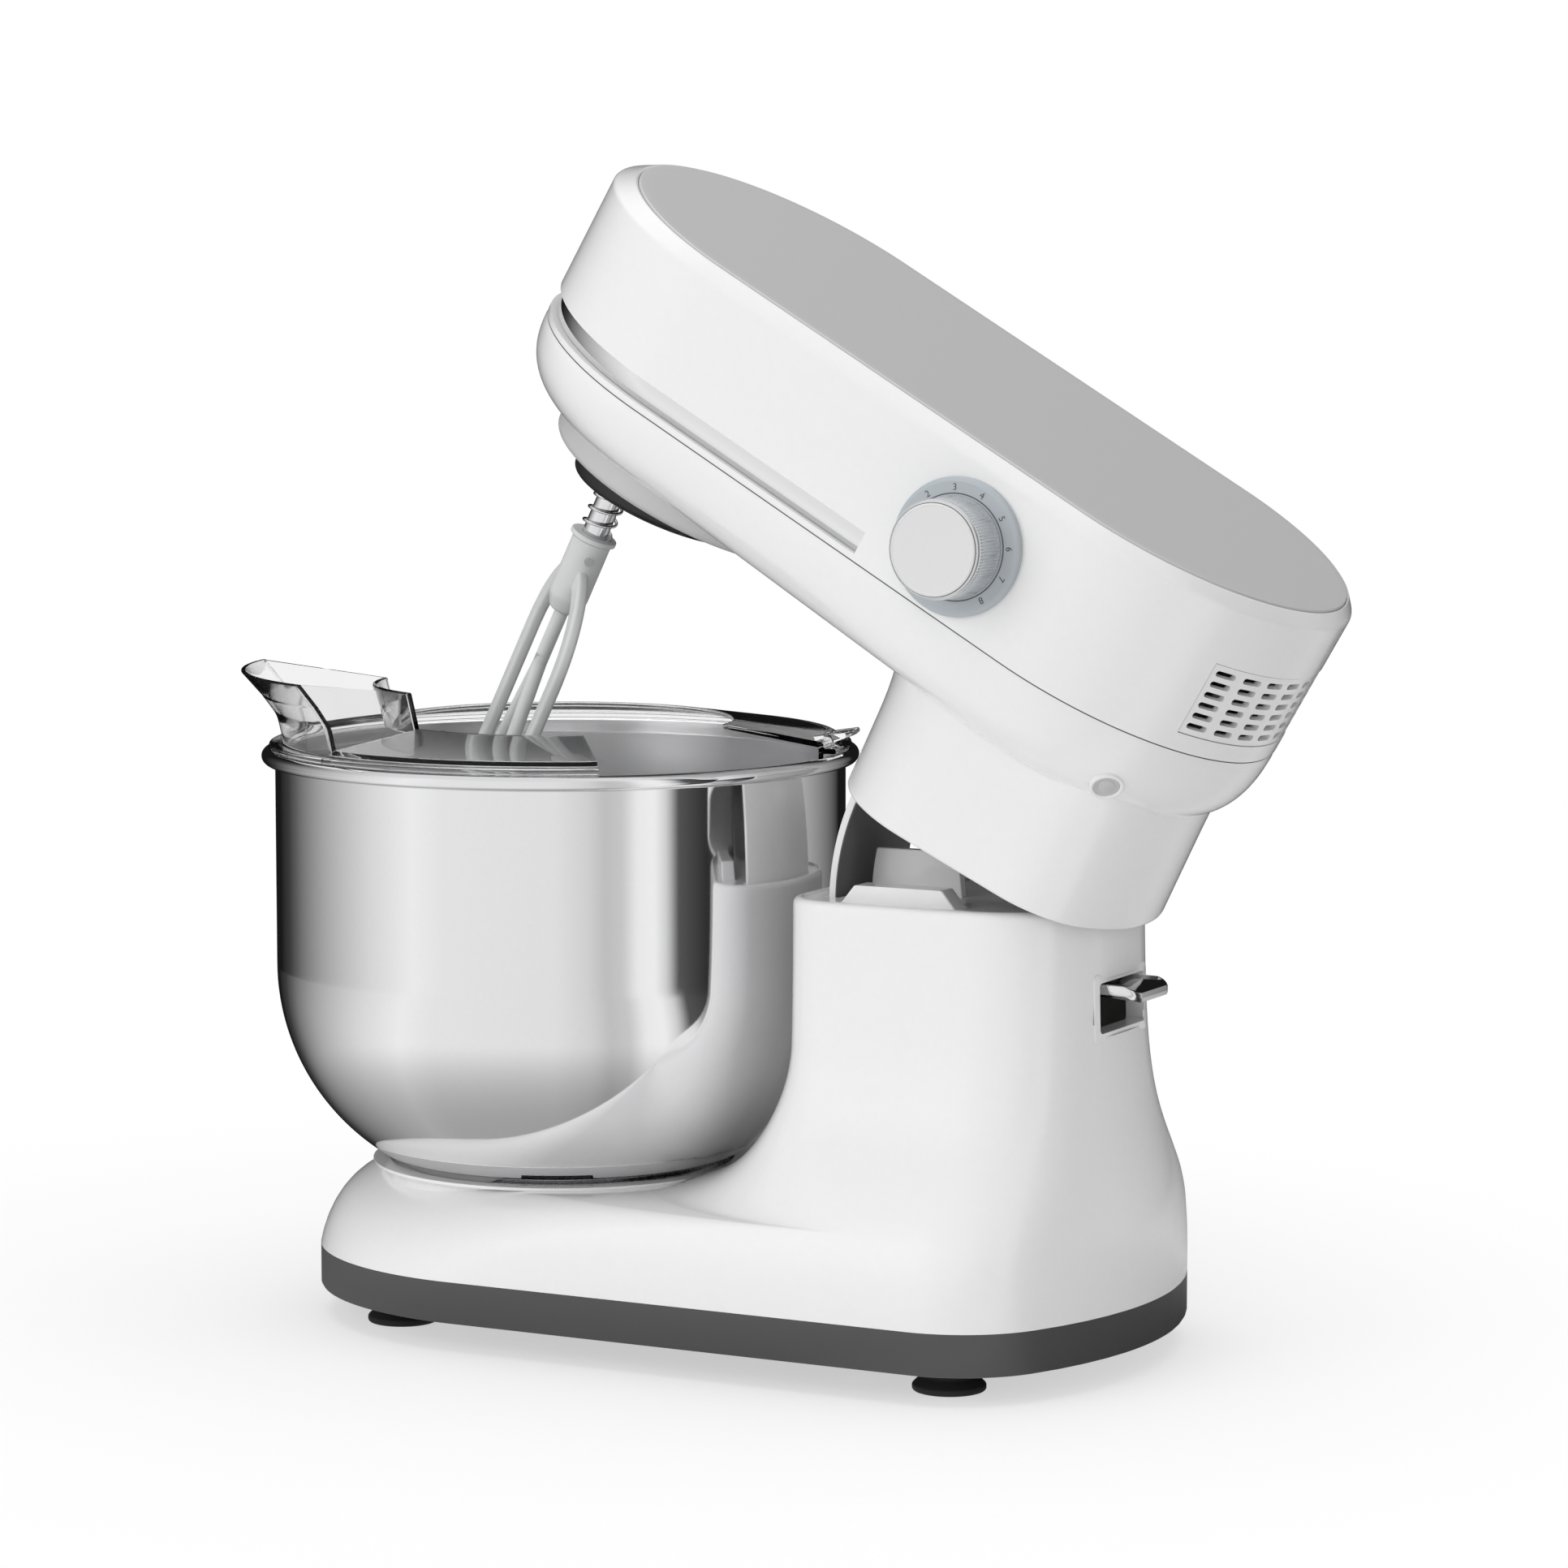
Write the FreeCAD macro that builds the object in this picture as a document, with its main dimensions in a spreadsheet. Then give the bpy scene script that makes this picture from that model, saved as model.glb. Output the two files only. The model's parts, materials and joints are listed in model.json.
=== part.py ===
import FreeCAD, Part
import math
import os
import re

import Sketcher
from FreeCAD import Placement, Rotation, Vector

# Tilt-head stand mixer, at rest with its head tilted back.
# Millimetres and degrees. +X points to the rear, -Y to the side with the speed knob, +Z up.
# The origin is on the table, under the axis of the bowl.
# Pieces of the head are drawn with the head closed, and the head's covers in a frame that lies along the head.

SIZES = {
    # Base and column
    "base_front": 95.5,
    "base_rear": 252.8,
    "base_half_width": 93.2,
    "base_nose": 99.5,
    "base_corner": 45.0,
    "base_tail": 150.0,
    "nose_flat": 1.5,
    "foot_height": 11.0,
    "tray_height": 16.2,
    "dome_height": 32.8,
    "dome_inset": 34.0,
    "shell_wall": 3.0,
    "column_top": 175.5,
    "column_front": 121.0,
    "column_rear": 239.0,
    "column_half_width": 52.0,
    "column_nose": 20.0,
    "column_corner": 40.0,
    "column_tail": 160.0,
    "flare_middle": 53.4,
    "flare_front": 44.0,
    "flare_nose": 110.0,
    "flare_sharpness": 12.0,
    "foot_radius": 13.7,
    "foot_neck": 10.5,
    "foot_front_x": -43.0,
    "foot_front_y": 50.0,
    "foot_rear_x": 198.0,
    "foot_rear_y": 61.5,
    "screw_radius": 2.0,
    "screw_head": 4.0,
    "screw_head_height": 2.0,
    "gland_radius": 6.0,
    "gland_y": 40.0,
    # Seat of the bowl
    "seat_radius": 70.0,
    "seat_wall": 2.5,
    "seat_floor": 52.0,
    "seat_rim": 4.0,
    "seat_rim_height": 1.2,
    "bayonet_entry": -62.0,
    "bayonet_turn": 32.0,
    "bayonet_tab_angle": 30.0,
    "bayonet_tab": 1.8,
    "bayonet_notch": 28.0,
    # Hinge, deck and lever
    "open_angle": 26.0,
    "hinge_x": 226.0,
    "hinge_z": 172.0,
    "hinge_pin_radius": 3.2,
    "knuckle_radius": 5.8,
    "arm_half_width": 18.5,
    "ear_gap": 1.5,
    "ear_thickness": 6.0,
    "deck_thickness": 3.5,
    "deck_drop": 1.0,
    "rib_height": 8.0,
    "rib_length": 49.0,
    "rib_top": 36.0,
    "rib_width": 10.0,
    "rib_y": 40.0,
    "rib_start": 143.7,
    "shroud_outer": 94.0,
    "shroud_wall": 3.5,
    "shroud_half_width": 30.0,
    "shroud_up": 5.0,
    "shroud_down": 31.0,
    "lever_x": 215.0,
    "lever_z": 145.0,
    "lever_pin_radius": 2.5,
    "lever_hub": 4.5,
    "lever_half_width": 16.0,
    "lever_thickness": 4.0,
    "lever_reach": 252.0,
    "lever_slot_half_width": 21.6,
    "lever_slot_low": 127.0,
    "lever_slot_high": 149.0,
    # Bowl and lid
    "bowl_radius": 110.75,
    "bowl_wall": 1.2,
    "bowl_bottom": 54.0,
    "bowl_belly": 87.5,
    "bowl_belly_z": 138.2,
    "bead_z": 219.36,
    "bead_tube": 2.93,
    "bowl_foot_radius": 61.0,
    "bowl_foot_wall": 3.0,
    "bowl_foot_flange": 65.6,
    "bowl_foot_flange_height": 1.6,
    "lug_reach": 66.2,
    "lug_height": 2.2,
    "lug_angle": 24.0,
    "lid_wall": 2.0,
    "lid_radius": 108.0,
    "lid_rim_overlap": 5.0,
    "lid_skirt": 6.0,
    "lid_step": 4.4,
    "lid_rise": 6.0,
    "lid_opening": 67.0,
    "lid_gap_start": -53.0,
    "lid_gap_end": 8.0,
    "lid_tab_reach": 117.0,
    "lid_tab_angle": 12.0,
    "chute_start": -168.0,
    "chute_end": -113.0,
    "chute_height": 26.0,
    "chute_flare": 16.0,
    "chute_inner_height": 14.0,
    # Head covers, in the head's own frame
    "head_z": 248.0,
    "head_slope": 4.44,
    "cover_radius": 79.0,
    "cover_front": 8.9,
    "cover_rear": 179.9,
    "cover_wall": 3.0,
    "cover_seam": 25.5,
    "cover_shoulder": 82.7,
    "cover_top": 88.0,
    "seam_gap": 0.4,
    "panel_radius": 74.3,
    "panel_front": 13.0,
    "panel_thickness": 2.2,
    "panel_ledge": 3.3,
    "trim_low": 28.0,
    "trim_high": 37.0,
    "trim_end": 112.4,
    "trim_depth": 4.0,
    "trim_thickness": 1.3,
    "trim_back_wall": 3.0,
    "belly_depth": 25.1,
    "belly_inset": 21.0,
    "belly_drop": 9.0,
    "neck_bottom": 176.0,
    "neck_height": 74.0,
    "neck_front": 126.0,
    "neck_rear": 247.0,
    "neck_half_width": 56.0,
    "neck_nose": 40.0,
    "neck_corner": 32.0,
    "neck_tail": 90.0,
    "neck_flare_front": 29.0,
    "neck_flare_rear": 6.0,
    "neck_flare_side": 8.0,
    "vent_angle": 38.0,
    "vent_low": 32.7,
    "vent_high": 61.4,
    "vent_pitch_angle": 9.5,
    "vent_pitch": 4.4,
    "vent_slot_length": 8.4,
    "vent_slot_height": 2.2,
    "dial_x": 146.3,
    "dial_z": 52.5,
    "dial_radius": 25.2,
    "dial_thickness": 4.0,
    "dial_bore": 8.0,
    "knob_radius": 18.6,
    "knob_length": 16.4,
    "knob_cap_radius": 16.6,
    "knob_cap_thickness": 0.8,
    "knob_spindle_radius": 4.0,
    "switch_half": 11.0,
    # Gear train, drawn with the head closed
    "housing_radius": 54.0,
    "housing_depth": 29.0,
    "housing_mouth": 35.5,
    "housing_shoulder": 10.0,
    "carrier_radius": 34.0,
    "carrier_bottom": 214.0,
    "carrier_height": 8.0,
    "carrier_hub": 12.0,
    "main_shaft_radius": 6.0,
    "ring_teeth": 60.0,
    "planet_teeth": 17.0,
    "planet_module": 1.0,
    "ring_bottom": 227.0,
    "ring_height": 11.0,
    "ring_outer": 36.0,
    "main_teeth": 80.0,
    "idler_teeth": 16.0,
    "main_module": 1.25,
    "gear_height": 10.0,
    "gear_gap": 3.0,
    "idler_shaft_radius": 5.0,
    "idler_pulley_radius": 48.0,
    "motor_pulley_radius": 9.0,
    "pulley_height": 12.0,
    "pulley_flange": 3.0,
    "belt_thickness": 2.0,
    "belt_width": 10.0,
    "plate_bottom": 252.0,
    "plate_thickness": 5.0,
    "plate_front": 45.0,
    "plate_rear": 232.0,
    "plate_half_width": 45.0,
    "bearing_wall": 6.0,
    "motor_x": 165.0,
    "motor_shaft_radius": 4.0,
    "stator_radius": 32.0,
    "stator_bore": 18.5,
    "stator_height": 42.0,
    "stator_post": 3.0,
    "commutator_radius": 9.0,
    "brush_height": 7.0,
    "brush_width": 8.0,
    "fan_radius": 24.0,
    "fan_height": 7.0,
    "board_length": 40.0,
    "board_height": 44.0,
    "board_thickness": 1.6,
    # Beater and its spring
    "beater_shaft_radius": 5.0,
    "beater_hub_radius": 9.0,
    "beater_hub_top": 199.0,
    "beater_hub_length": 27.0,
    "beater_rim_radius": 10.2,
    "beater_half_width": 38.0,
    "beater_bottom": 61.0,
    "beater_bar": 9.0,
    "beater_thickness": 6.0,
    "beater_stem_radius": 4.6,
    "beater_fork": 147.0,
    "beater_heading": -50.0,
    "cross_pin_radius": 1.6,
    "pin_overhang": 0.5,
    "spring_radius": 6.9,
    "spring_wire": 1.2,
    "spring_turns": 4.0,
    "lever_spring_turns": 4.0,
    # Clearances
    "fit_gap": 0.3,
    "running_gap": 0.05,
    "rest_gap": 0.4,
}

doc = FreeCAD.newDocument("StandMixer")
sheet = doc.addObject("Spreadsheet::Sheet", "Dims")
for row, (alias, value) in enumerate(SIZES.items(), start=1):
    cell = "A%d" % row
    sheet.set(cell, str(value))
    sheet.setAlias(cell, alias)
doc.recompute()

nodes = []


class Sheet:
    """Reads a size from the spreadsheet by its name."""

    def __getattr__(self, alias):
        return float(sheet.get(alias))


d = Sheet()


def formula(text):
    """Puts the spreadsheet's name before each size's name."""
    return re.sub(r"[a-z_]+", lambda m: "Dims." + m.group(0) if m.group(0) in SIZES else m.group(0), text)


# Frames: the closed head tilts back about the hinge, and the covers lie along the head.
OPEN = "placement(vector(0; 0; 0); rotation(vector(0; 1; 0); open_angle); vector(hinge_x; 0; hinge_z))"
ALONG = OPEN + " * placement(vector(0; 0; head_z); rotation(vector(0; 1; 0); head_slope))"
TURNS = {"Z": "vector(0; 0; 1); 0", "Y": "vector(1; 0; 0); -90", "X": "vector(0; 1; 0); 90"}

tray_top = "(foot_height + tray_height)"
deck_z = "(foot_height + tray_height + dome_height)"
gland_z = "(foot_height + shell_wall + (tray_height - shell_wall) / 2)"
plate_top = "(plate_bottom + plate_thickness)"
pulley_z = "(plate_bottom + plate_thickness + gear_gap)"
gear_z = "(plate_bottom + plate_thickness + 2 * gear_gap + pulley_height)"
planet_x = "(planet_module * (planet_teeth - ring_teeth) / 2)"
idler_x = "(main_module * (main_teeth + idler_teeth) / 2)"
shaft_top = "(plate_bottom + plate_thickness + 3 * gear_gap + pulley_height + gear_height)"


def number(text):
    """Value of a formula."""
    return float(sheet.evalExpression(formula(text)))


def place(obj, frame, x="0", y="0", z="0", turn="vector(0; 0; 1); 0"):
    local = "placement(vector(%s; %s; %s); rotation(%s))" % (x, y, z, turn)
    whole = frame + " * " + local if frame else local
    obj.setExpression("Placement", formula(whole))


def bind(obj, **sizes):
    for name, text in sizes.items():
        obj.setExpression(name, formula(text))
    return obj


def cylinder(name, radius, height, x="0", y="0", z="0", axis="Z", frame=""):
    obj = bind(doc.addObject("Part::Cylinder", name), Radius=radius, Height=height)
    place(obj, frame, x, y, z, TURNS[axis])
    return obj


def box(name, xs, ys, zs, frame=""):
    obj = doc.addObject("Part::Box", name)
    spans = ["(%s) - (%s)" % (high, low) for low, high in (xs, ys, zs)]
    bind(obj, Length=spans[0], Width=spans[1], Height=spans[2])
    place(obj, frame, xs[0], ys[0], zs[0])
    return obj


def cut(name, base, *tools):
    obj = doc.addObject("Part::Cut", name)
    obj.Base = base
    obj.Tool = tools[0] if len(tools) == 1 else fuse(name + "_tools", *tools)
    return obj


def fuse(name, *parts):
    obj = doc.addObject("Part::MultiFuse", name)
    obj.Shapes = list(parts)
    return obj


def group(name, *parts):
    obj = doc.addObject("Part::Compound", name)
    obj.Links = list(parts)
    return obj


def tube(name, outer, inner, height, x="0", y="0", z="0", axis="Z"):
    outside = cylinder(name + "_outside", outer, height, x, y, z, axis)
    inside = cylinder(name + "_inside", inner, height, x, y, z, axis)
    return cut(name, outside, inside)


def solid(name, shape):
    obj = doc.addObject("Part::Feature", name)
    obj.Shape = Part.makeCompound(shape.Solids)
    return obj


def node(obj, label, frame=""):
    """Names a finished piece and sets its frame."""
    obj.Label = label
    if frame:
        obj.setExpression("Placement", formula(frame))
    nodes.append(obj)
    return obj


def arc_edge(start, end, radius, side):
    """Sketch arc of under a half circle between two points, with its centre on one side of the way."""
    chord = end - start
    middle = (start + end) * 0.5
    reach = math.sqrt(max(radius ** 2 - (chord.Length / 2) ** 2, 0))
    left = Vector(-chord.y, chord.x, 0) / chord.Length
    bulge = middle - left * (radius - reach) * side
    return Part.Arc(start, bulge, end)


def sketch(body, name, role, points):
    """Closed outline; a point is (x, y) or, where an arc starts there, (x, y, radius, side of the centre)."""
    drawing = body.newObject("Sketcher::SketchObject", name)
    plane = [f for f in body.Origin.OriginFeatures if f.Role == role][0]
    drawing.AttachmentSupport = (plane, [""])
    drawing.MapMode = "FlatFace"
    places = [Vector(number(p[0]), number(p[1]), 0) for p in points]
    count = len(points)
    ends = {}
    for i, point in enumerate(points):
        start = places[i]
        end = places[(i + 1) % count]
        ends[i] = (1, 2)
        if len(point) == 4:
            curve = arc_edge(start, end, number(point[2]), point[3])
            drawing.addGeometry(curve)
            if drawing.getPoint(i, 1).distanceToPoint(start) > drawing.getPoint(i, 2).distanceToPoint(start):
                ends[i] = (2, 1)
        else:
            drawing.addGeometry(Part.LineSegment(start, end))
    for i in range(count):
        after = (i + 1) % count
        drawing.addConstraint(Sketcher.Constraint("Coincident", i, ends[i][1], after, ends[after][0]))
    for i, point in enumerate(points):
        for kind, text, value in (("DistanceX", point[0], places[i].x), ("DistanceY", point[1], places[i].y)):
            index = drawing.addConstraint(Sketcher.Constraint(kind, -1, 1, i, ends[i][0], value))
            drawing.setExpression("Constraints[%d]" % index, formula(text))
        if len(point) == 4:
            index = drawing.addConstraint(Sketcher.Constraint("Radius", i, number(point[2])))
            drawing.setExpression("Constraints[%d]" % index, formula(point[2]))
    return drawing


def revolved(name, points):
    """Body turned about the Z axis from an outline of (radius, height) points."""
    body = doc.addObject("PartDesign::Body", name)
    outline = sketch(body, name + "_outline", "XZ_Plane", points)
    turn = body.newObject("PartDesign::Revolution", name + "_turn")
    turn.Profile = outline
    turn.ReferenceAxis = (outline, ["V_Axis"])
    turn.Angle = 360
    return body


def padded(name, role, points, length, both_ways=False):
    """Body of an outline raised to a length."""
    body = doc.addObject("PartDesign::Body", name)
    pad = body.newObject("PartDesign::Pad", name + "_pad")
    pad.Profile = sketch(body, name + "_outline", role, points)
    pad.SideType = "Symmetric" if both_ways else "One side"
    bind(pad, Length=length)
    return body


def quarter(centre, first, second):
    """Quarter ellipse between the ends of two half axes."""
    long, short = (first, second) if first.Length >= second.Length else (second, first)
    curve = Part.Ellipse(centre + long, centre + short, centre)
    return Part.ArcOfEllipse(curve, 0, math.pi / 2).toShape()


def line(a, b):
    return Part.LineSegment(a, b).toShape()


def arc(a, b, c):
    return Part.Arc(a, b, c).toShape()


def plan(z, front, rear, half, nose, flat, corner, tail):
    """Horizontal section with an oval front, straight sides, rounded rear corners and a bowed rear end."""
    side = half - corner
    tail_x = rear - tail
    corner_x = tail_x + math.sqrt((tail - corner) ** 2 - side ** 2)
    lean = math.atan2(side, corner_x - tail_x)
    edges = [line(Vector(front, flat, z), Vector(front, -flat, z))]
    ends = {}
    for sign in (-1, 1):
        middle = (lean + math.pi / 2) / 2
        start = Vector(corner_x, sign * half, z)
        bulge = Vector(corner_x + corner * math.cos(middle), sign * (side + corner * math.sin(middle)), z)
        end = Vector(tail_x + tail * math.cos(lean), sign * tail * math.sin(lean), z)
        ends[sign] = (start, bulge, end)
        centre = Vector(front + nose, sign * flat, z)
        bow = quarter(centre, Vector(-nose, 0, 0), Vector(0, sign * (half - flat), 0))
        straight = line(Vector(front + nose, sign * half, z), start)
        run = [bow, straight, arc(start, bulge, end)]
        edges += run if sign < 0 else []
        far_run = run
    edges.append(arc(ends[-1][2], Vector(rear, 0, z), ends[1][2]))
    edges += far_run[::-1]
    return Part.Wire(edges)


def loft(wires, ruled=False):
    return Part.makeLoft(wires, True, ruled)


def raised(wire, height):
    return Part.Face(wire).extrude(Vector(0, 0, height))


def stadium(front, rear, radius, z):
    """Long round-ended outline in the head's frame."""
    points = [Vector(rear, -radius, z), Vector(rear, radius, z), Vector(front, radius, z), Vector(front, -radius, z)]
    return Part.Wire([
        arc(points[0], Vector(rear + radius, 0, z), points[1]),
        line(points[1], points[2]),
        arc(points[2], Vector(front - radius, 0, z), points[3]),
        line(points[3], points[0]),
    ])


def sector(points, start, end):
    """Outline of (radius, height) points turned about the Z axis from one angle to another."""
    corners = [Vector(r, 0, z) for r, z in points]
    face = Part.Face(Part.makePolygon(corners + corners[:1]))
    face.rotate(Vector(), Vector(0, 0, 1), start)
    return face.revolve(Vector(), Vector(0, 0, 1), end - start)


# Base


def flare(z):
    """Share of the spread from the column out to the base's outline at a height."""
    return 1 / (1 + ((z - number(tray_top)) / d.flare_middle) ** 4)


def sides(z, shrink):
    """Rear end, half width, rear corner and rear bow, which run on from the base into the column."""
    share = flare(z)
    rear = d.column_rear + (d.base_rear - d.column_rear) * share - shrink
    half = d.column_half_width + (d.base_half_width - d.column_half_width) * share - shrink
    corner = d.column_corner + (d.base_corner - d.column_corner) * share - shrink
    tail = d.column_tail + (d.base_tail - d.column_tail) * share - shrink
    return rear, half, corner, tail


DOME_ANGLES = (0, 20, 40, 60, 75, 85)
RISE_STEPS = 12


def foot_section(angle, shrink=0.0):
    """Section of the base under the bowl; its rounded edge draws in at the front and fades towards the column."""
    lean = math.radians(angle)
    z = number(tray_top) + (d.dome_height - shrink) * math.sin(lean) / math.sin(math.radians(DOME_ANGLES[-1]))
    inset = d.dome_inset * (1 - math.cos(lean)) + shrink
    rear, half, corner, tail = sides(z, shrink)
    narrow = min((d.base_half_width - inset) / half, 1)
    reach = d.base_front - inset
    nose = d.base_nose / d.base_front * reach / (1 - math.sqrt(1 - narrow ** 2))
    return plan(z, -reach, rear, half, nose, d.nose_flat, corner, tail)


def column_section(z, shrink=0.0):
    """Section of the column; its foot runs out forward over the deck."""
    share = flare(z) ** 2
    rear, half, corner, tail = sides(z, shrink)
    above_deck = max(z + shrink - number(deck_z), 0)
    front = d.column_front - d.flare_front * math.exp(-math.sqrt(above_deck / d.flare_sharpness)) + shrink
    nose = d.column_nose + d.flare_nose * share - shrink
    flat = d.nose_flat + (d.column_half_width - d.column_nose - d.nose_flat) * (1 - share)
    return plan(z, front, rear, half, nose, flat, corner, tail)


def base_body(shrink):
    """Foot and column in one, drawn in by the wall where it is the hollow."""
    deck = number(deck_z) - shrink
    foot = loft([foot_section(angle, shrink) for angle in DOME_ANGLES])
    heights = [deck + (d.column_top - deck) * (k / RISE_STEPS) ** 2 for k in range(RISE_STEPS + 1)]
    return foot.fuse(loft([column_section(z, shrink) for z in heights], True))


def base_shell():
    shell = base_body(0.0).cut(base_body(d.shell_wall))
    low = number(tray_top)
    recess = Part.makeCylinder(d.seat_radius + d.fit_gap, d.dome_height + d.shell_wall, Vector(0, 0, low))
    slot = Part.makeBox(2 * d.base_corner, 2 * d.lever_slot_half_width, d.lever_slot_high - d.lever_slot_low,
                        Vector(d.lever_x, -d.lever_slot_half_width, d.lever_slot_low))
    return shell.cut(Part.makeCompound([recess, slot]))


def base_tray():
    low = foot_section(0)
    inner = foot_section(0, d.shell_wall)
    low.translate(Vector(0, 0, -d.tray_height))
    inner.translate(Vector(0, 0, d.shell_wall - d.tray_height))
    tray = raised(low, d.tray_height).cut(raised(inner, d.tray_height))
    hole = Part.makeCylinder(d.gland_radius + d.running_gap, 2 * d.base_corner,
                             Vector(d.base_rear - d.base_corner, d.gland_y, number(gland_z)), Vector(1, 0, 0))
    return tray.cut(hole)


node(solid("base_shell", base_shell()), "base_shell")
node(solid("base_tray", base_tray()), "base_tray")

FEET = (
    ("foot_front_near", "foot_front_x", "-foot_front_y"),
    ("foot_front_far", "foot_front_x", "foot_front_y"),
    ("foot_rear_near", "foot_rear_x", "-foot_rear_y"),
    ("foot_rear_far", "foot_rear_x", "foot_rear_y"),
)
for label, x, y in FEET:
    foot = revolved(label, [
        ("0", "shell_wall / 2"),
        ("foot_neck / 2", "shell_wall / 2"),
        ("foot_neck", "0"),
        ("foot_radius", "0"),
        ("foot_radius", "foot_height / 5"),
        ("foot_neck", "foot_height / 2"),
        ("foot_neck", "foot_height"),
        ("0", "foot_height"),
    ])
    place(foot, "", x, y)
    node(foot, label)

screws = []
for x, y in (("foot_front_x / 2", "foot_front_y"), ("foot_rear_x * 0.8", "foot_rear_y")):
    for side in ("-", ""):
        name = "tray_screw_%d" % len(screws)
        screws.append(cylinder(name, "screw_head", "screw_head_height", x, side + y,
                               "foot_height - screw_head_height"))
node(group("tray_screws", *screws), "tray_screws")

gland_x = "(base_rear - base_tail + sqrt(base_tail^2 - (gland_y + gland_radius + gland_radius / 3)^2))"
gland_body = cylinder("gland_body", "gland_radius", "3 * shell_wall", gland_x + " - 3 * shell_wall", "gland_y",
                      gland_z, "X")
gland_bore = cylinder("gland_bore", "gland_radius / 2", "6 * shell_wall", gland_x + " - 4 * shell_wall",
                      "gland_y", gland_z, "X")
node(cut("cord_gland", gland_body, gland_bore), "cord_gland")

# Bowl seat with three bayonet tabs
seat_cup = revolved("seat_cup", [
    ("0", "seat_floor - seat_wall"),
    ("seat_radius", "seat_floor - seat_wall"),
    ("seat_radius", deck_z),
    ("seat_radius + seat_rim", deck_z),
    ("seat_radius + seat_rim", deck_z + " + seat_rim_height"),
    ("seat_radius - seat_wall", deck_z + " + seat_rim_height"),
    ("seat_radius - seat_wall", "seat_floor"),
    ("0", "seat_floor"),
])


def three_around(shapes):
    """Three copies of each shape around the bowl's axis."""
    copies = []
    for shape in shapes:
        for k in range(3):
            copy = shape.copy()
            copy.rotate(Vector(), Vector(0, 0, 1), 120 * k)
            copies.append(copy)
    return copies


tab_low = d.seat_floor + d.rest_gap + 2 * d.fit_gap + d.lug_height + d.rest_gap + d.fit_gap


def bowl_tabs():
    inner = d.bowl_foot_radius + 4 * d.rest_gap
    outer = d.seat_radius - d.seat_wall / 2
    middle = d.bayonet_entry + d.bayonet_turn
    half = d.bayonet_tab_angle / 2
    ring = [(inner, tab_low), (outer, tab_low), (outer, tab_low + d.bayonet_tab), (inner, tab_low + d.bayonet_tab)]
    return Part.makeCompound(three_around([sector(ring, middle - half, middle + half)]))


def seat_notches():
    top = number(deck_z) + 2 * d.seat_rim_height
    notch = Part.makeBox(d.seat_radius, d.bayonet_notch, top - tab_low, Vector(0, -d.bayonet_notch / 2, tab_low))
    notch = notch.common(Part.makeCylinder(d.seat_radius - d.seat_wall / 4, top))
    notch.rotate(Vector(), Vector(0, 0, 1), d.bayonet_entry)
    return Part.makeCompound(three_around([notch]))


seat = cut("seat_notched", seat_cup, solid("seat_notches", seat_notches()))
node(fuse("bowl_seat", seat, solid("seat_tabs", bowl_tabs())), "bowl_seat")


# Deck on the column, with two ramp-shaped ribs and openings for the shroud and the hinge
def column_deck():
    top = d.column_top - d.deck_drop
    low = top - d.deck_thickness
    outline = column_section(top, d.shell_wall + d.fit_gap)
    outline.translate(Vector(0, 0, -d.deck_thickness))
    deck = raised(outline, d.deck_thickness)
    ears = d.arm_half_width + d.ear_gap + d.ear_thickness
    window = Part.makeBox(d.base_rear, 2 * (ears + 1), 4 * d.rib_height,
                          Vector(hinge_window(), -ears - 1, low - d.rib_height))
    gap = d.shroud_wall + 5 * d.fit_gap
    slot_x = d.hinge_x - d.shroud_outer - 2 * d.fit_gap
    slot = Part.makeBox(gap, 2 * (d.shroud_half_width + 3 * d.fit_gap), 4 * d.rib_height,
                        Vector(slot_x, -d.shroud_half_width - 3 * d.fit_gap, low - d.rib_height))
    deck = deck.cut(Part.makeCompound([window, slot]))
    lead = (d.rib_length - d.rib_top) / 2
    for side in (-1, 1):
        start = Vector(d.rib_start, side * d.rib_y - d.rib_width / 2, top - d.deck_drop)
        profile = [(0, 0), (d.rib_length, 0), (d.rib_length - lead, d.rib_height), (lead, d.rib_height)]
        corners = [start + Vector(x, 0, z) for x, z in profile]
        rib = Part.Face(Part.makePolygon(corners + corners[:1])).extrude(Vector(0, d.rib_width, 0))
        deck = deck.fuse(rib)
    return deck.removeSplitter()


def hinge_window():
    return d.lever_x - 2 * d.lever_hub - d.fit_gap


node(solid("column_deck", column_deck()), "column_deck")

# Hinge bracket: two ears for the hinge pin and the lever pin, on a cross plate under the deck
deck_low = "(column_top - deck_drop - deck_thickness)"
ear_inner = "(arm_half_width + ear_gap)"
ear_outer = "(arm_half_width + ear_gap + ear_thickness)"
ears = []
for side, low, high in (("near", "-" + ear_outer, "-" + ear_inner), ("far", ear_inner, ear_outer)):
    name = "ear_" + side
    ears.append(box(name, ("lever_x - 2 * lever_hub", "hinge_x + knuckle_radius"), (low, high),
                    ("lever_z - 2 * lever_hub", "hinge_z")))
    ears.append(cylinder(name + "_top", "knuckle_radius", "ear_thickness", "hinge_x", low, "hinge_z", "Y"))
cross_plate = box("cross_plate", ("hinge_x - 5 * knuckle_radius", "lever_x - 2 * lever_hub + knuckle_radius / 4"),
                  ("-" + ear_outer, ear_outer), (deck_low + " - knuckle_radius", deck_low))
bracket_solid = fuse("bracket_solid", cross_plate, *ears)
pin_span = "2 * " + ear_outer + " + 2"
hinge_bore = cylinder("hinge_bore", "hinge_pin_radius + running_gap", pin_span, "hinge_x", "-%s - 1" % ear_outer,
                      "hinge_z", "Y")
lever_bore = cylinder("lever_bore", "lever_pin_radius + running_gap", pin_span, "lever_x", "-%s - 1" % ear_outer,
                      "lever_z", "Y")
node(cut("hinge_bracket", bracket_solid, hinge_bore, lever_bore), "hinge_bracket")
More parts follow.
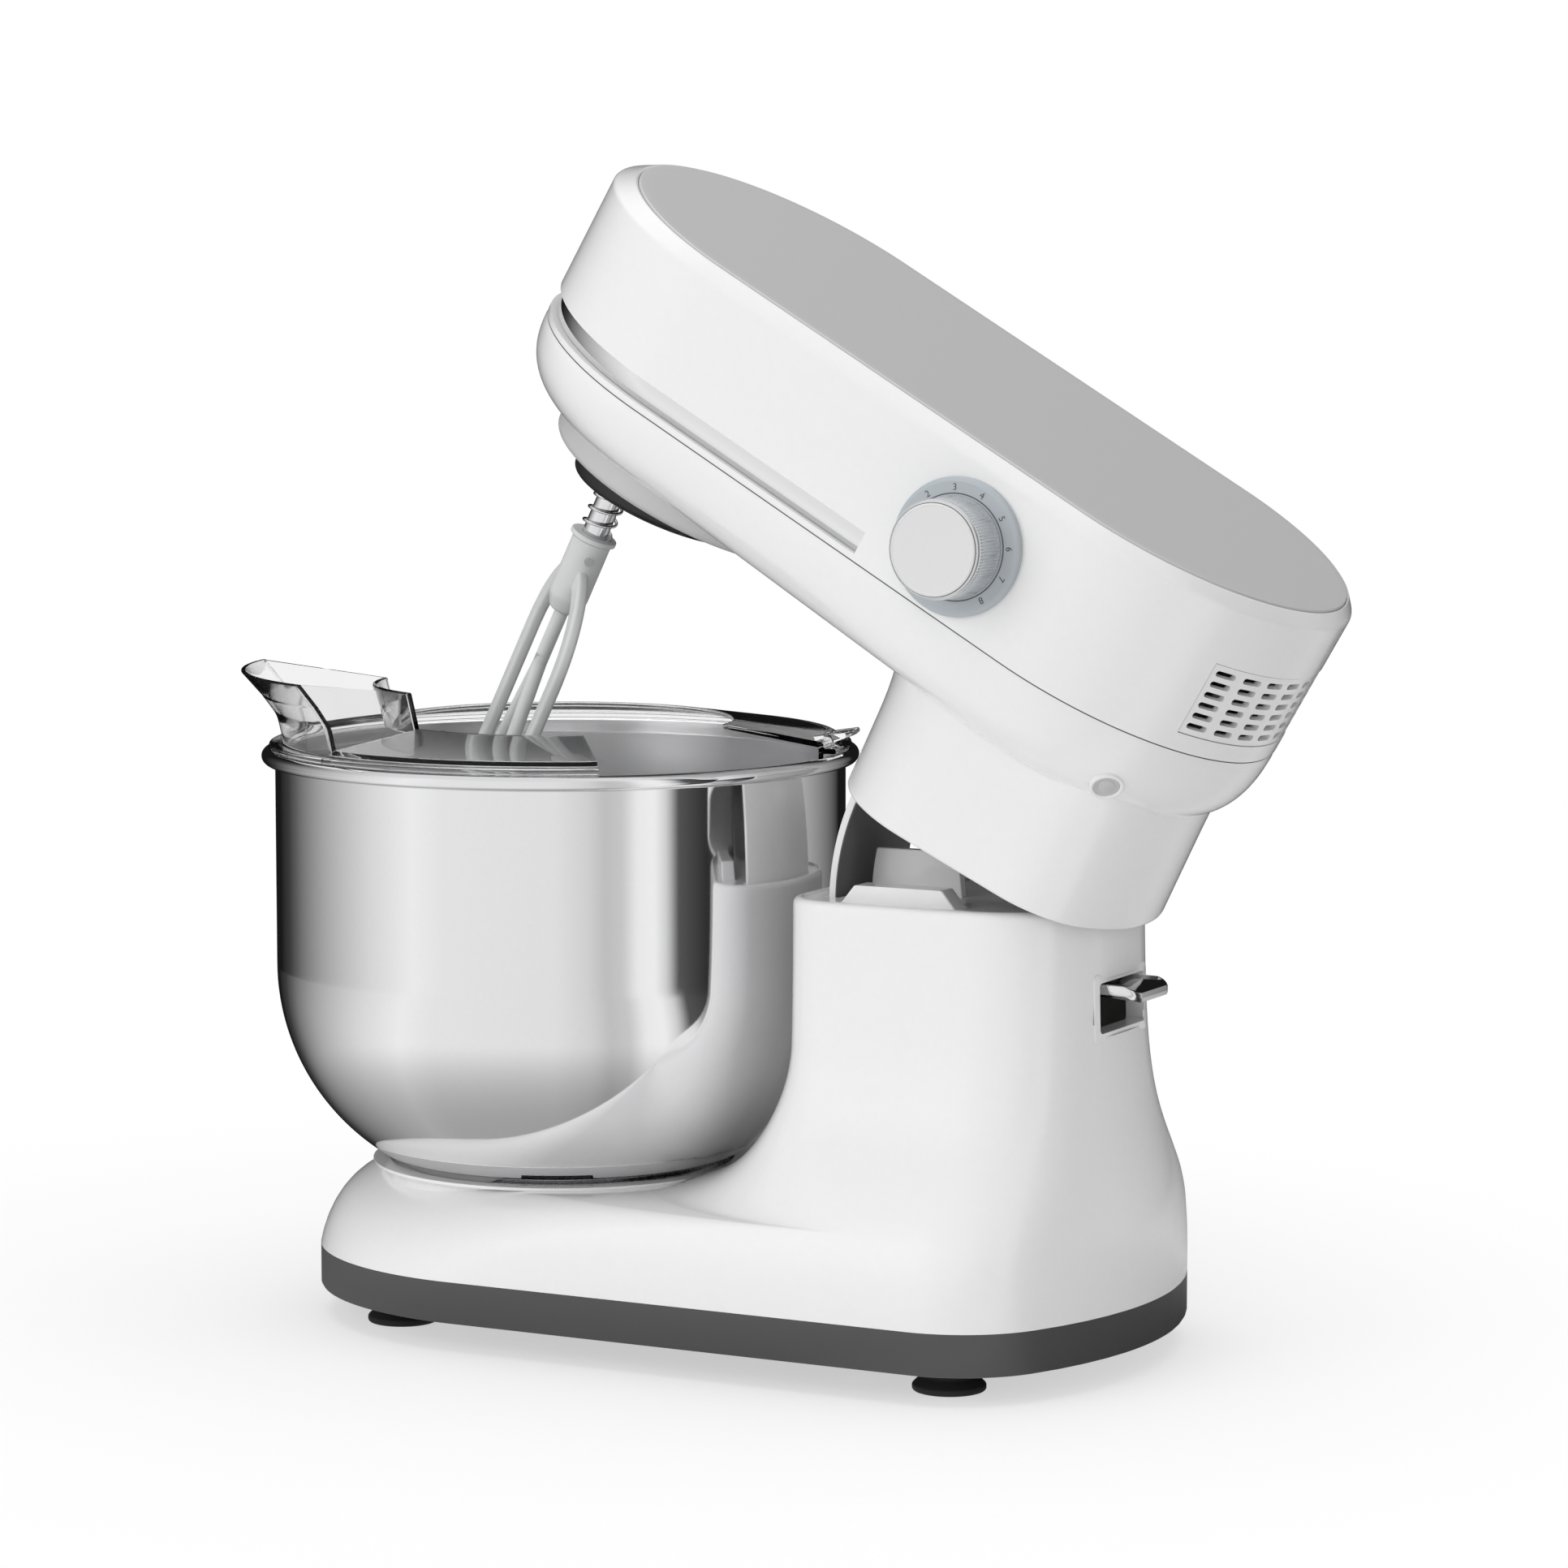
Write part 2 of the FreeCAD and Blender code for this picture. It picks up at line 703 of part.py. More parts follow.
node(cylinder("hinge_pin", "hinge_pin_radius", pin_span, "hinge_x", "-%s - 1" % ear_outer, "hinge_z", "Y"),
     "hinge_pin")
node(cylinder("lever_pin", "lever_pin_radius", pin_span, "lever_x", "-%s - 1" % ear_outer, "lever_z", "Y"),
     "lever_pin")

# Lock lever: a bright tab on a hub, with a hook towards the hinge arm
lever_hub = cylinder("lever_hub_body", "lever_hub", "2 * lever_half_width", "lever_x", "-lever_half_width",
                     "lever_z", "Y")
lever_tab = padded("lever_tab", "XZ_Plane", [
    ("lever_x", "lever_z - lever_thickness / 2"),
    ("lever_reach - 2 * lever_thickness", "lever_z - lever_thickness / 2"),
    ("lever_reach", "lever_z - lever_thickness"),
    ("lever_reach", "lever_z - lever_thickness / 4"),
    ("lever_reach - 2 * lever_thickness", "lever_z + lever_thickness / 2"),
    ("lever_x", "lever_z + lever_thickness / 2"),
], "2 * lever_half_width", True)
lever_hook = box("lever_hook", ("lever_x - lever_hub", "lever_x - lever_hub / 4"),
                 ("-lever_half_width / 2", "lever_half_width / 2"), ("lever_z", "lever_z + 3 * lever_hub"))
lever_body = fuse("lever_body", lever_hub, lever_tab, lever_hook)
lever_hole = cylinder("lever_hole", "lever_pin_radius + running_gap", "4 * lever_half_width", "lever_x",
                      "-2 * lever_half_width", "lever_z", "Y")
lever_room = "(lever_hub + 3 * fit_gap)"
spring_room = box("spring_room", ("lever_x - " + lever_room, "lever_x + " + lever_room),
                  ("lever_half_width / 4", "2 * lever_half_width"),
                  ("lever_z - " + lever_room, "lever_z + " + lever_room))
node(cut("lock_lever", lever_body, lever_hole, spring_room), "lock_lever")


# Springs: one unbroken six-sided wire, each quarter turn two tangent arcs, with straight ends
WIRE_SIDES = 6
MARKS = 40


def tangent_arcs(start, heading, end, end_heading):
    """Two arcs that leave one point and reach the next along given directions."""
    span = end - start
    both = heading + end_heading
    spread = 2 * (1 - heading.dot(end_heading))
    reach = (math.sqrt(span.dot(both) ** 2 + spread * span.dot(span)) - span.dot(both)) / spread
    first = start + heading * reach
    second = end - end_heading * reach
    joint = (first + second) * 0.5
    edges = []
    for a, b, knee in ((start, joint, first), (joint, end, second)):
        middle = (a + b) * 0.5
        half = (b - a).Length / 2
        tilt = math.acos(min(half / reach, 1))
        towards = knee - middle
        bulge = middle + towards / towards.Length * half * math.tan(tilt / 2)
        edges.append(arc(a, bulge, b))
    return edges


def coil(radius, wire, turns, height):
    """Coil about the Z axis from z = 0, wire centre to wire centre."""
    steps = int(round(4 * turns))
    rise = height / steps
    slope = math.atan2(rise, radius * math.pi / 2)

    def point(k):
        angle = k * math.pi / 2
        return Vector(radius * math.cos(angle), radius * math.sin(angle), k * rise)

    def heading(k):
        angle = k * math.pi / 2
        flat = math.cos(slope)
        return Vector(-flat * math.sin(angle), flat * math.cos(angle), math.sin(slope))

    edges = [line(point(0) - heading(0) * wire, point(0))]
    for k in range(steps):
        edges += tangent_arcs(point(k), heading(k), point(k + 1), heading(k + 1))
    edges.append(line(point(steps), point(steps) + heading(steps) * wire))
    path = Part.Wire(edges)
    across = Vector(0, 0, 1).cross(heading(0)).normalize()
    corner = point(0) - heading(0) * wire + across * wire / 2
    ring = [corner]
    for k in range(1, WIRE_SIDES):
        turn = Rotation(heading(0), 360 * k / WIRE_SIDES)
        ring.append(point(0) - heading(0) * wire + turn.multVec(across) * wire / 2)
    spring = path.makePipeShell([Part.makePolygon(ring + [corner])], True, False)
    section = WIRE_SIDES / 8 * wire ** 2 * math.sin(2 * math.pi / WIRE_SIDES)
    print("coil volume %.1f, section times length %.1f" % (spring.Volume, section * path.Length))
    marks = path.discretize(MARKS * steps)
    apart = int(MARKS * steps / turns / 2)
    nearest = min((marks[i] - marks[j]).Length for i in range(len(marks)) for j in range(i + apart, len(marks), 3))
    print("coil of radius %.1f: least gap to itself %.2f" % (radius, nearest - wire))
    return spring


def lever_spring():
    low = d.lever_half_width / 4 + d.spring_wire + d.fit_gap
    length = number(ear_inner) - low - d.spring_wire - d.fit_gap
    spring = coil(d.lever_pin_radius + d.fit_gap + d.spring_wire / 2, d.spring_wire, d.lever_spring_turns, length)
    spring.rotate(Vector(), Vector(1, 0, 0), -90)
    spring.translate(Vector(d.lever_x, low, d.lever_z))
    return spring


node(solid("lever_spring", lever_spring()), "lever_spring")

# Bowl
belly_x = "(bowl_radius - bowl_belly)"
bead_x = "(bowl_radius + 0.8 * bead_tube)"
flat_radius = "(%s + sqrt(bowl_belly^2 - (bowl_belly_z - bowl_bottom)^2))" % belly_x
inner_belly = "(bowl_belly - bowl_wall)"
inner_flat = "(%s + sqrt(%s^2 - (bowl_belly_z - bowl_bottom - bowl_wall)^2))" % (belly_x, inner_belly)
node(revolved("bowl", [
    ("0", "bowl_bottom"),
    (flat_radius, "bowl_bottom", "bowl_belly", 1),
    ("bowl_radius", "bowl_belly_z"),
    ("bowl_radius", "bead_z - 0.6 * bead_tube", "bead_tube", 1),
    (bead_x + " + bead_tube", "bead_z", "bead_tube", 1),
    (bead_x + " - 0.6 * bead_tube", "bead_z + 0.8 * bead_tube"),
    ("bowl_radius - bowl_wall", "bead_z + 0.5 * bead_tube"),
    ("bowl_radius - bowl_wall", "bowl_belly_z", inner_belly, -1),
    (inner_flat, "bowl_bottom + bowl_wall"),
    ("0", "bowl_bottom + bowl_wall"),
]), "bowl")

under_belly = "(bowl_belly + fit_gap / 2)"
foot_inner = "(bowl_foot_radius - bowl_foot_wall)"
foot_joint = "(bowl_foot_flange - bowl_foot_wall)"
foot_flange_z = "(bowl_bottom + 4 * bowl_wall)"
foot_top = "(bowl_belly_z - sqrt(%s^2 - (%s - %s)^2))"
foot_ring = revolved("foot_ring", [
    (foot_inner, "seat_floor + rest_gap"),
    ("bowl_foot_radius", "seat_floor + rest_gap"),
    ("bowl_foot_radius", foot_flange_z + " - bowl_foot_flange_height / 2"),
    ("bowl_foot_flange", foot_flange_z + " - bowl_foot_flange_height / 2"),
    ("bowl_foot_flange", foot_flange_z + " + bowl_foot_flange_height / 2"),
    (foot_joint, foot_flange_z + " + bowl_foot_flange_height / 2"),
    (foot_joint, foot_top % (under_belly, foot_joint, belly_x), under_belly, 1),
    (foot_inner, foot_top % (under_belly, foot_inner, belly_x)),
])


def bowl_lugs():
    low = d.seat_floor + d.rest_gap + 2 * d.fit_gap
    inner = d.bowl_foot_radius - d.bowl_foot_wall / 2
    middle = d.bayonet_entry + d.bayonet_turn
    half = d.lug_angle / 2
    ring = [(inner, low), (d.lug_reach, low), (d.lug_reach, low + d.lug_height), (inner, low + d.lug_height)]
    return Part.makeCompound(three_around([sector(ring, middle - half, middle + half)]))


node(fuse("bowl_foot", foot_ring, solid("bowl_lugs", bowl_lugs())), "bowl_foot")


# Splash lid: an open ring that rests on the bowl's bead, with a filling chute
def splash_lid():
    wall = d.lid_wall
    rest = d.bead_z + d.bead_tube + d.fit_gap
    shoulder = rest + d.lid_step
    brow = shoulder + d.lid_rise
    edge = d.lid_radius + d.lid_rim_overlap
    start = d.lid_gap_end
    end = 360 + d.lid_gap_start
    ring = [
        (d.lid_radius - wall, rest - d.lid_skirt), (d.lid_radius, rest - d.lid_skirt), (d.lid_radius, rest),
        (edge, rest), (edge, rest + wall), (d.lid_radius, rest + wall), (d.lid_radius, shoulder),
        (d.lid_opening, brow), (d.lid_opening, brow - wall), (d.lid_radius - wall, shoulder - wall),
    ]
    lid = sector(ring, start, end)
    lip = [(d.lid_radius, shoulder), (d.lid_radius + d.chute_flare / 8, shoulder + d.chute_height / 3),
           (d.lid_radius + d.chute_flare / 2, shoulder + 0.65 * d.chute_height),
           (d.lid_radius + d.chute_flare, shoulder + d.chute_height)]
    inside = [(r - wall, z) for r, z in lip]
    outer_wall = sector([(lip[0][0], rest)] + lip + inside[::-1] + [(inside[0][0], rest)], d.chute_start, d.chute_end)
    back = d.lid_opening + 0.3 * d.chute_inner_height
    back_top = brow + d.chute_inner_height
    inner_wall = sector([(d.lid_opening, brow - wall), (back, back_top), (back + wall, back_top),
                         (d.lid_opening + wall, brow - wall)], d.chute_start, d.chute_end)
    web = [(d.lid_opening, brow - wall), (back, back_top)] + lip[::-1] + [(d.lid_radius, shoulder - wall)]
    turn = math.degrees(wall / d.lid_radius)
    walls = [outer_wall, inner_wall, sector(web, d.chute_end - turn, d.chute_end),
             sector(web, d.chute_start, d.chute_start + turn)]
    mouth = sector([(d.lid_opening + wall, rest), (d.lid_radius - wall, rest), (d.lid_radius - wall, back_top),
                    (d.lid_opening + wall, back_top)], d.chute_start + turn, d.chute_end - turn)
    tab = sector([(d.lid_radius - wall, shoulder - wall), (d.lid_tab_reach, shoulder + wall),
                  (d.lid_tab_reach, shoulder + 2 * wall), (d.lid_radius - 2 * wall, shoulder + wall)],
                 start, start + d.lid_tab_angle)
    return lid.cut(mouth).fuse(walls + [tab]).removeSplitter()


node(solid("splash_lid", splash_lid()), "splash_lid")


# Head covers, in the head's frame
def upper_cover():
    front, rear, radius = d.cover_front, d.cover_rear, d.cover_radius
    lip = d.panel_radius + d.fit_gap
    cover = raised(stadium(front, rear, radius, d.cover_seam), d.cover_shoulder - d.cover_seam)
    bevel = loft([stadium(front, rear, radius, d.cover_shoulder), stadium(d.panel_front, rear, lip, d.cover_top)])
    cover = cover.fuse(bevel)
    thick = radius - d.trim_depth - d.trim_back_wall
    step = d.trim_high + d.cover_wall
    ledge = d.cover_top - d.panel_thickness - d.cover_wall
    low_room = raised(stadium(front, rear, thick, 0), step)
    high_room = raised(stadium(front, rear, radius - d.cover_wall, step), ledge - step)
    hatch = raised(stadium(d.panel_front, rear, d.panel_radius - d.panel_ledge, step), d.cover_top)
    seat = raised(stadium(d.panel_front, rear, lip, d.cover_top - d.panel_thickness), d.cover_top)
    cover = cover.cut(low_room).cut(high_room).cut(hatch).cut(seat)
    groove = trim_band(radius + d.cover_wall, radius - d.trim_depth, d.trim_low, d.trim_high)
    bore = Part.makeCylinder(d.dial_bore, 2 * d.cover_radius, Vector(d.dial_x, 0, d.dial_z), Vector(0, -1, 0))
    return cover.cut(Part.makeCompound([groove, vent_band(d.fit_gap, 3 * d.cover_wall, d.cover_wall), bore]))


def trim_band(outer, inner, low, high):
    """Band round the front of the head, as far back as the trim's end."""
    band = raised(stadium(d.cover_front, d.cover_rear, outer, low), high - low)
    band = band.cut(raised(stadium(d.cover_front, d.cover_rear, inner, low), high - low))
    return band.common(Part.makeBox(2 * outer, 2 * outer, high, Vector(d.trim_end - 2 * outer, -outer, 0)))


def vent_band(grow, inward, outward):
    """Block round the rear end where the grille sits."""
    spread = d.vent_angle + math.degrees(grow / d.cover_radius)
    inner = d.cover_radius - inward
    outer = d.cover_radius + outward
    low = d.vent_low - grow
    high = d.vent_high + grow
    block = sector([(inner, low), (outer, low), (outer, high), (inner, high)], -spread, spread)
    block.translate(Vector(d.cover_rear, 0, 0))
    return block


def vent_grille():
    band = vent_band(0.0, d.cover_wall, -d.fit_gap)
    columns = 2 * int(d.vent_angle / d.vent_pitch_angle)
    rows = int((d.vent_high - d.vent_low) / d.vent_pitch)
    slots = []
    for i in range(columns):
        for k in range(rows):
            angle = (i - (columns - 1) / 2) * d.vent_pitch_angle
            z = (d.vent_low + d.vent_high) / 2 + (k - (rows - 1) / 2) * d.vent_pitch
            slot = Part.makeBox(4 * d.cover_wall, d.vent_slot_length, d.vent_slot_height,
                                Vector(d.cover_radius - 2 * d.cover_wall, -d.vent_slot_length / 2,
                                       z - d.vent_slot_height / 2))
            slot.rotate(Vector(), Vector(0, 0, 1), angle)
            slot.translate(Vector(d.cover_rear, 0, 0))
            slots.append(slot)
    return band.cut(Part.makeCompound(slots))


def top_panel():
    low = d.cover_top - d.panel_thickness
    return raised(stadium(d.panel_front, d.cover_rear, d.panel_radius, low), d.panel_thickness)


def trim_strip():
    inner = d.cover_radius - d.trim_depth + d.running_gap
    gap = d.fit_gap
    return trim_band(inner + d.trim_thickness, inner, d.trim_low + gap, d.trim_high - gap)


BELLY_STEPS = (0.0, 0.36, 0.72, 0.9, 1.0)


def belly_section(step, shrink):
    """Section of the lower cover; its round belly draws in towards the bottom and drops towards the rear."""
    inset = d.belly_inset * (1 - math.sqrt(max(1 - step ** 2.6, 0))) + shrink
    z = d.cover_seam - d.seam_gap - d.belly_depth * step + shrink * step
    wire = stadium(d.cover_front, d.cover_rear, d.cover_radius - inset, 0)
    length = d.cover_rear - d.cover_front + 2 * d.cover_radius
    drop = math.degrees(math.atan2(d.belly_drop * step, length))
    wire.rotate(Vector(d.cover_front - d.cover_radius, 0, 0), Vector(0, 1, 0), drop)
    wire.translate(Vector(0, 0, z))
    return wire


def neck_section(step, shrink):
    flare = step ** 7
    side = d.neck_flare_side * flare
    z = d.neck_bottom + d.neck_height * step
    half = d.neck_half_width + side - shrink
    flat = d.neck_half_width - d.neck_nose + side
    return plan(z, d.neck_front - d.neck_flare_front * flare + shrink, d.neck_rear + d.neck_flare_rear * flare - shrink,
                half, d.neck_nose - shrink, flat, d.neck_corner - shrink, d.neck_tail - shrink)


def lower_cover():
    """Lower cover with the neck, drawn with the head closed."""
    along = Placement(Vector(0, 0, d.head_z), Rotation(Vector(0, 1, 0), d.head_slope))
    steps = (0.0, 0.45, 0.7, 0.87, 1.0)
    outside = loft([belly_section(step, 0.0) for step in BELLY_STEPS])
    inside = loft([belly_section(step, d.cover_wall) for step in BELLY_STEPS])
    hole = Part.makeCylinder(d.housing_radius + d.fit_gap, 4 * d.belly_depth, Vector(0, 0, -2 * d.belly_depth))
    for shape in (outside, inside, hole):
        shape.Placement = along
    cover = outside.fuse(loft([neck_section(step, 0.0) for step in steps]))
    cover = cover.cut(inside).cut(loft([neck_section(step, d.cover_wall) for step in steps]))
    return cover.cut(hole)


node(solid("upper_cover", upper_cover()), "upper_cover", ALONG)
node(solid("top_panel", top_panel()), "top_panel", ALONG)
node(solid("trim_strip", trim_strip()), "trim_strip", ALONG)
node(solid("vent_grille", vent_grille()), "vent_grille", ALONG)
node(solid("lower_cover", lower_cover()), "lower_cover", OPEN)


def neck_shroud():
    """Curved plate about the hinge that closes the gap in front of the neck."""
    outer = d.shroud_outer
    corners = [Vector(outer - d.shroud_wall, 0, 0), Vector(outer, 0, 0)]
    profile = [corners[0], corners[1], corners[1] + Vector(0, 2 * d.shroud_half_width, 0),
               corners[0] + Vector(0, 2 * d.shroud_half_width, 0)]
    face = Part.Face(Part.makePolygon(profile + profile[:1]))
    face.translate(Vector(0, -d.shroud_half_width, 0))
    face.rotate(Vector(), Vector(0, 1, 0), 180 - d.shroud_down)
    plate = face.revolve(Vector(), Vector(0, 1, 0), d.shroud_up + d.shroud_down)
    plate.translate(Vector(d.hinge_x, 0, d.hinge_z))
    return plate


node(solid("neck_shroud", neck_shroud()), "neck_shroud", OPEN)

# Dial, knob and switch, in the head's frame
dial_y = "-(cover_radius + dial_thickness)"
node(tube("dial_ring", "dial_radius", "dial_bore", "dial_thickness", "dial_x", dial_y, "dial_z", "Y"), "dial_ring",
     ALONG)
knob_y = "-(cover_radius + dial_thickness + fit_gap)"
knob_body = revolved("knob_body", [
    ("knob_spindle_radius", "0"),
    ("knob_radius", "0"),
    ("knob_radius - knob_cap_thickness", "knob_length - knob_cap_thickness"),
    ("knob_radius - 2 * knob_cap_thickness", "knob_length"),
    ("knob_spindle_radius", "knob_length"),
])
TO_NEAR = "vector(1; 0; 0); 90"
place(knob_body, ALONG, "dial_x", knob_y, "dial_z", TO_NEAR)
node(knob_body, "knob")
knob_cap = revolved("knob_cap_body", [
    ("0", "0"),
    ("knob_cap_radius", "0"),
    ("knob_cap_radius - knob_cap_thickness", "knob_cap_thickness"),
    ("0", "knob_cap_thickness"),
])
place(knob_cap, ALONG, "dial_x", knob_y + " - knob_length", "dial_z", TO_NEAR)
node(knob_cap, "knob_cap")
switch_face = "-(cover_radius - cover_wall - rest_gap)"
switch_depth = "(3 * knob_spindle_radius)"
spindle = cylinder("knob_spindle", "knob_spindle_radius - running_gap",
                   "knob_length + dial_thickness + cover_wall + fit_gap + rest_gap + " + switch_depth + " / 2",
                   "0", "0", "0")
place(spindle, ALONG, "dial_x", switch_face + " + " + switch_depth + " / 2", "dial_z", TO_NEAR)
node(spindle, "knob_spindle")
switch_box = box("switch_box", ("dial_x - switch_half", "dial_x + switch_half"),
                 (switch_face, switch_face + " + " + switch_depth),
                 ("dial_z - switch_half", "dial_z + switch_half"))
switch_bore = cylinder("switch_bore", "knob_spindle_radius", switch_depth + " / 2 + running_gap", "dial_x",
                       switch_face, "dial_z", "Y")
node(cut("speed_switch", switch_box, switch_bore), "speed_switch", ALONG)

# Planetary housing: a round bell under the head, its mouth square to the spindle
housing_outer = revolved("housing_outer", [
    ("0", "-housing_depth"),
    ("housing_radius - housing_depth + housing_shoulder", "-housing_depth", "housing_depth - housing_shoulder", 1),
    ("housing_radius", "-housing_shoulder"),
    ("housing_radius", "housing_depth"),
    ("0", "housing_depth"),
])
housing_inner = revolved("housing_inner", [
    ("0", "cover_wall - housing_depth"),
    ("housing_radius - housing_depth + housing_shoulder", "cover_wall - housing_depth",
     "housing_depth - housing_shoulder - cover_wall", 1),
    ("housing_radius - cover_wall", "-housing_shoulder"),
    ("housing_radius - cover_wall", "2 * housing_depth"),
    ("0", "2 * housing_depth"),
])
UPRIGHT = "vector(0; 1; 0); -head_slope"
housing_mouth = bind(doc.addObject("Part::Cylinder", "housing_mouth_cut"), Radius="housing_mouth",
                     Height="housing_depth")
place(housing_mouth, "", "housing_depth * 1.5 * sin(head_slope)", "0", "-housing_depth * 1.5", UPRIGHT)
housing_top = bind(doc.addObject("Part::Box", "housing_top_cut"), Length="4 * housing_radius",
                   Width="4 * housing_radius", Height="2 * housing_depth")
housing_top.setExpression("Placement", formula(
    "placement(vector(0; 0; -head_z); rotation(vector(0; 1; 0); 0))"
    " * placement(vector(0; 0; 0); rotation(vector(0; 1; 0); -head_slope); vector(0; 0; head_z))"
    " * placement(vector(-2 * housing_radius; -2 * housing_radius; plate_bottom); rotation(vector(0; 0; 1); 0))"))
node(cut("planetary_housing", housing_outer, housing_inner, housing_mouth, housing_top), "planetary_housing", ALONG)


# Gears
def gear_points(teeth, module, phase, internal=False):
    """Outline with straight flanks; each tooth is a little thin, which leaves backlash."""
    pitch = module * teeth / 2
    way = -1 if internal else 1
    tip = pitch + way * 0.8 * module
    root = pitch - way * 1.2 * module
    half = math.pi * module / 4 - 0.13 * module
    slope = math.tan(math.radians(20)) * module
    widths = ((root, half + 1.2 * slope), (tip, half - 0.8 * slope))
    points = []
    for k in range(int(teeth)):
        middle = math.radians(phase) + 2 * math.pi * k / teeth
        for radius, width, sign in ((widths[0] + (-1,)), (widths[1] + (-1,)), (widths[1] + (1,)), (widths[0] + (1,))):
            angle = middle + sign * width / pitch
            points.append(Vector(radius * math.cos(angle), radius * math.sin(angle), 0))
    return points


def gear_face(teeth, module, phase=0.0, internal=False):
    points = gear_points(teeth, module, phase, internal)
    return Part.Face(Part.makePolygon(points + points[:1]))


def gear(teeth, module, height, bore, place_at, phase=0.0):
    wheel = gear_face(teeth, module, phase).extrude(Vector(0, 0, height))
    wheel = wheel.cut(Part.makeCylinder(bore, height))
    wheel.translate(place_at)
    return wheel


def ring_gear():
    """Toothed ring on a sleeve that hangs from the gearbox plate."""
    hollow = gear_face(d.ring_teeth, d.planet_module, 0.0, True).extrude(Vector(0, 0, d.ring_height))
    ring = Part.makeCylinder(d.ring_outer, d.ring_height).cut(hollow)
    length = d.plate_bottom - d.ring_bottom - d.ring_height
    sleeve = Part.makeCylinder(d.ring_outer, length, Vector(0, 0, d.ring_height))
    bore = d.ring_outer - d.cover_wall
    sleeve = sleeve.cut(Part.makeCylinder(bore, length, Vector(0, 0, d.ring_height)))
    whole = ring.fuse(sleeve)
    whole.translate(Vector(0, 0, d.ring_bottom))
    return whole.removeSplitter()


planet_at = Vector(number(planet_x), 0, d.ring_bottom + d.fit_gap)
main_at = Vector(0, 0, number(gear_z))
idler_at = Vector(number(idler_x), 0, number(gear_z))
node(solid("ring_gear", ring_gear()), "ring_gear", OPEN)
node(solid("planet_pinion", gear(d.planet_teeth, d.planet_module, d.ring_height - 2 * d.fit_gap, d.beater_shaft_radius,
                                 planet_at)), "planet_pinion", OPEN)
node(solid("main_gear", gear(d.main_teeth, d.main_module, d.gear_height, d.main_shaft_radius, main_at)),
     "main_gear", OPEN)
node(solid("idler_pinion", gear(d.idler_teeth, d.main_module, d.gear_height, d.idler_shaft_radius, idler_at,
                                180 / d.idler_teeth)), "idler_pinion", OPEN)

# Gearbox plate, bearings and screws
bearing_x = {"main": "0", "idler": idler_x, "motor": "motor_x"}
shaft_radius = {"main": "main_shaft_radius", "idler": "idler_shaft_radius", "motor": "motor_shaft_radius"}
plate_body = padded("plate_body", "XY_Plane", [
    ("0", "plate_half_width", "plate_front", 1),
    ("-plate_front", "0", "plate_front", 1),
    ("0", "-plate_half_width"),
    ("plate_rear", "-plate_half_width"),
    ("plate_rear", "plate_half_width"),
], "plate_thickness")
place(plate_body, "", "0", "0", "plate_bottom")
bores = []
bearings = []
for name, x in bearing_x.items():
    outer = shaft_radius[name] + " + bearing_wall"
    bores.append(cylinder(name + "_plate_bore", outer + " + running_gap", "3 * plate_thickness", x, "0",
                          "plate_bottom - plate_thickness"))
    bearings.append(tube(name + "_bearing", outer, shaft_radius[name] + " + running_gap", "plate_thickness", x, "0",
                         "plate_bottom"))
screw_places = []
for x in ("-plate_front / 4", "plate_rear / 2", "plate_rear - 2 * plate_thickness"):
    for side in ("-", ""):
        screw_places.append((x, side + "(plate_half_width - 2 * plate_thickness)"))
screws = []
for i, (x, y) in enumerate(screw_places):
    bores.append(cylinder("plate_hole_%d" % i, "screw_radius + running_gap", "3 * plate_thickness", x, y,
                          "plate_bottom - plate_thickness"))
    shank = cylinder("plate_shank_%d" % i, "screw_radius", "plate_thickness", x, y, "plate_bottom")
    head = cylinder("plate_head_%d" % i, "screw_head", "screw_head_height", x, y, plate_top)
    screws.append(fuse("plate_screw_%d" % i, shank, head))
node(cut("gearbox_plate", plate_body, *bores), "gearbox_plate", OPEN)
node(group("bearings", *bearings), "bearings", OPEN)
node(group("gearbox_screws", *screws), "gearbox_screws", OPEN)

# Hinge arm under the rear of the plate
arm_top = padded("arm_top", "XZ_Plane", [
    ("plate_rear - 5 * knuckle_radius + knuckle_radius", "plate_bottom"),
    ("hinge_x - knuckle_radius", "hinge_z"),
    ("hinge_x + knuckle_radius", "hinge_z"),
    ("plate_rear", "plate_bottom"),
], "2 * arm_half_width", True)
arm_knuckle = cylinder("arm_knuckle", "knuckle_radius", "2 * arm_half_width", "hinge_x", "-arm_half_width", "hinge_z",
                       "Y")
arm_bore = cylinder("arm_bore", "hinge_pin_radius + running_gap", "4 * arm_half_width", "hinge_x",
                    "-2 * arm_half_width", "hinge_z", "Y")
node(cut("hinge_arm", fuse("arm_solid", arm_top, arm_knuckle), arm_bore), "hinge_arm", OPEN)

# Carrier and main shaft
carrier_disc = revolved("carrier_disc", [
    ("main_shaft_radius", "carrier_bottom"),
    ("carrier_radius - carrier_height / 2", "carrier_bottom", "carrier_height / 2", 1),
    ("carrier_radius", "carrier_bottom + carrier_height / 2"),
    ("carrier_radius", "carrier_bottom + carrier_height"),
    ("carrier_hub", "carrier_bottom + carrier_height"),
    ("carrier_hub - rest_gap", "ring_bottom - rest_gap"),
    ("main_shaft_radius", "ring_bottom - rest_gap"),
])
carrier_bore = cylinder("carrier_bore", "beater_shaft_radius + running_gap", "4 * carrier_height", planet_x, "0",
                        "carrier_bottom - carrier_height")
node(cut("planet_carrier", carrier_disc, carrier_bore), "planet_carrier", OPEN)
node(cylinder("main_shaft", "main_shaft_radius", shaft_top + " - carrier_bottom - fit_gap", "0", "0",
              "carrier_bottom + fit_gap", "Z", OPEN), "main_shaft")

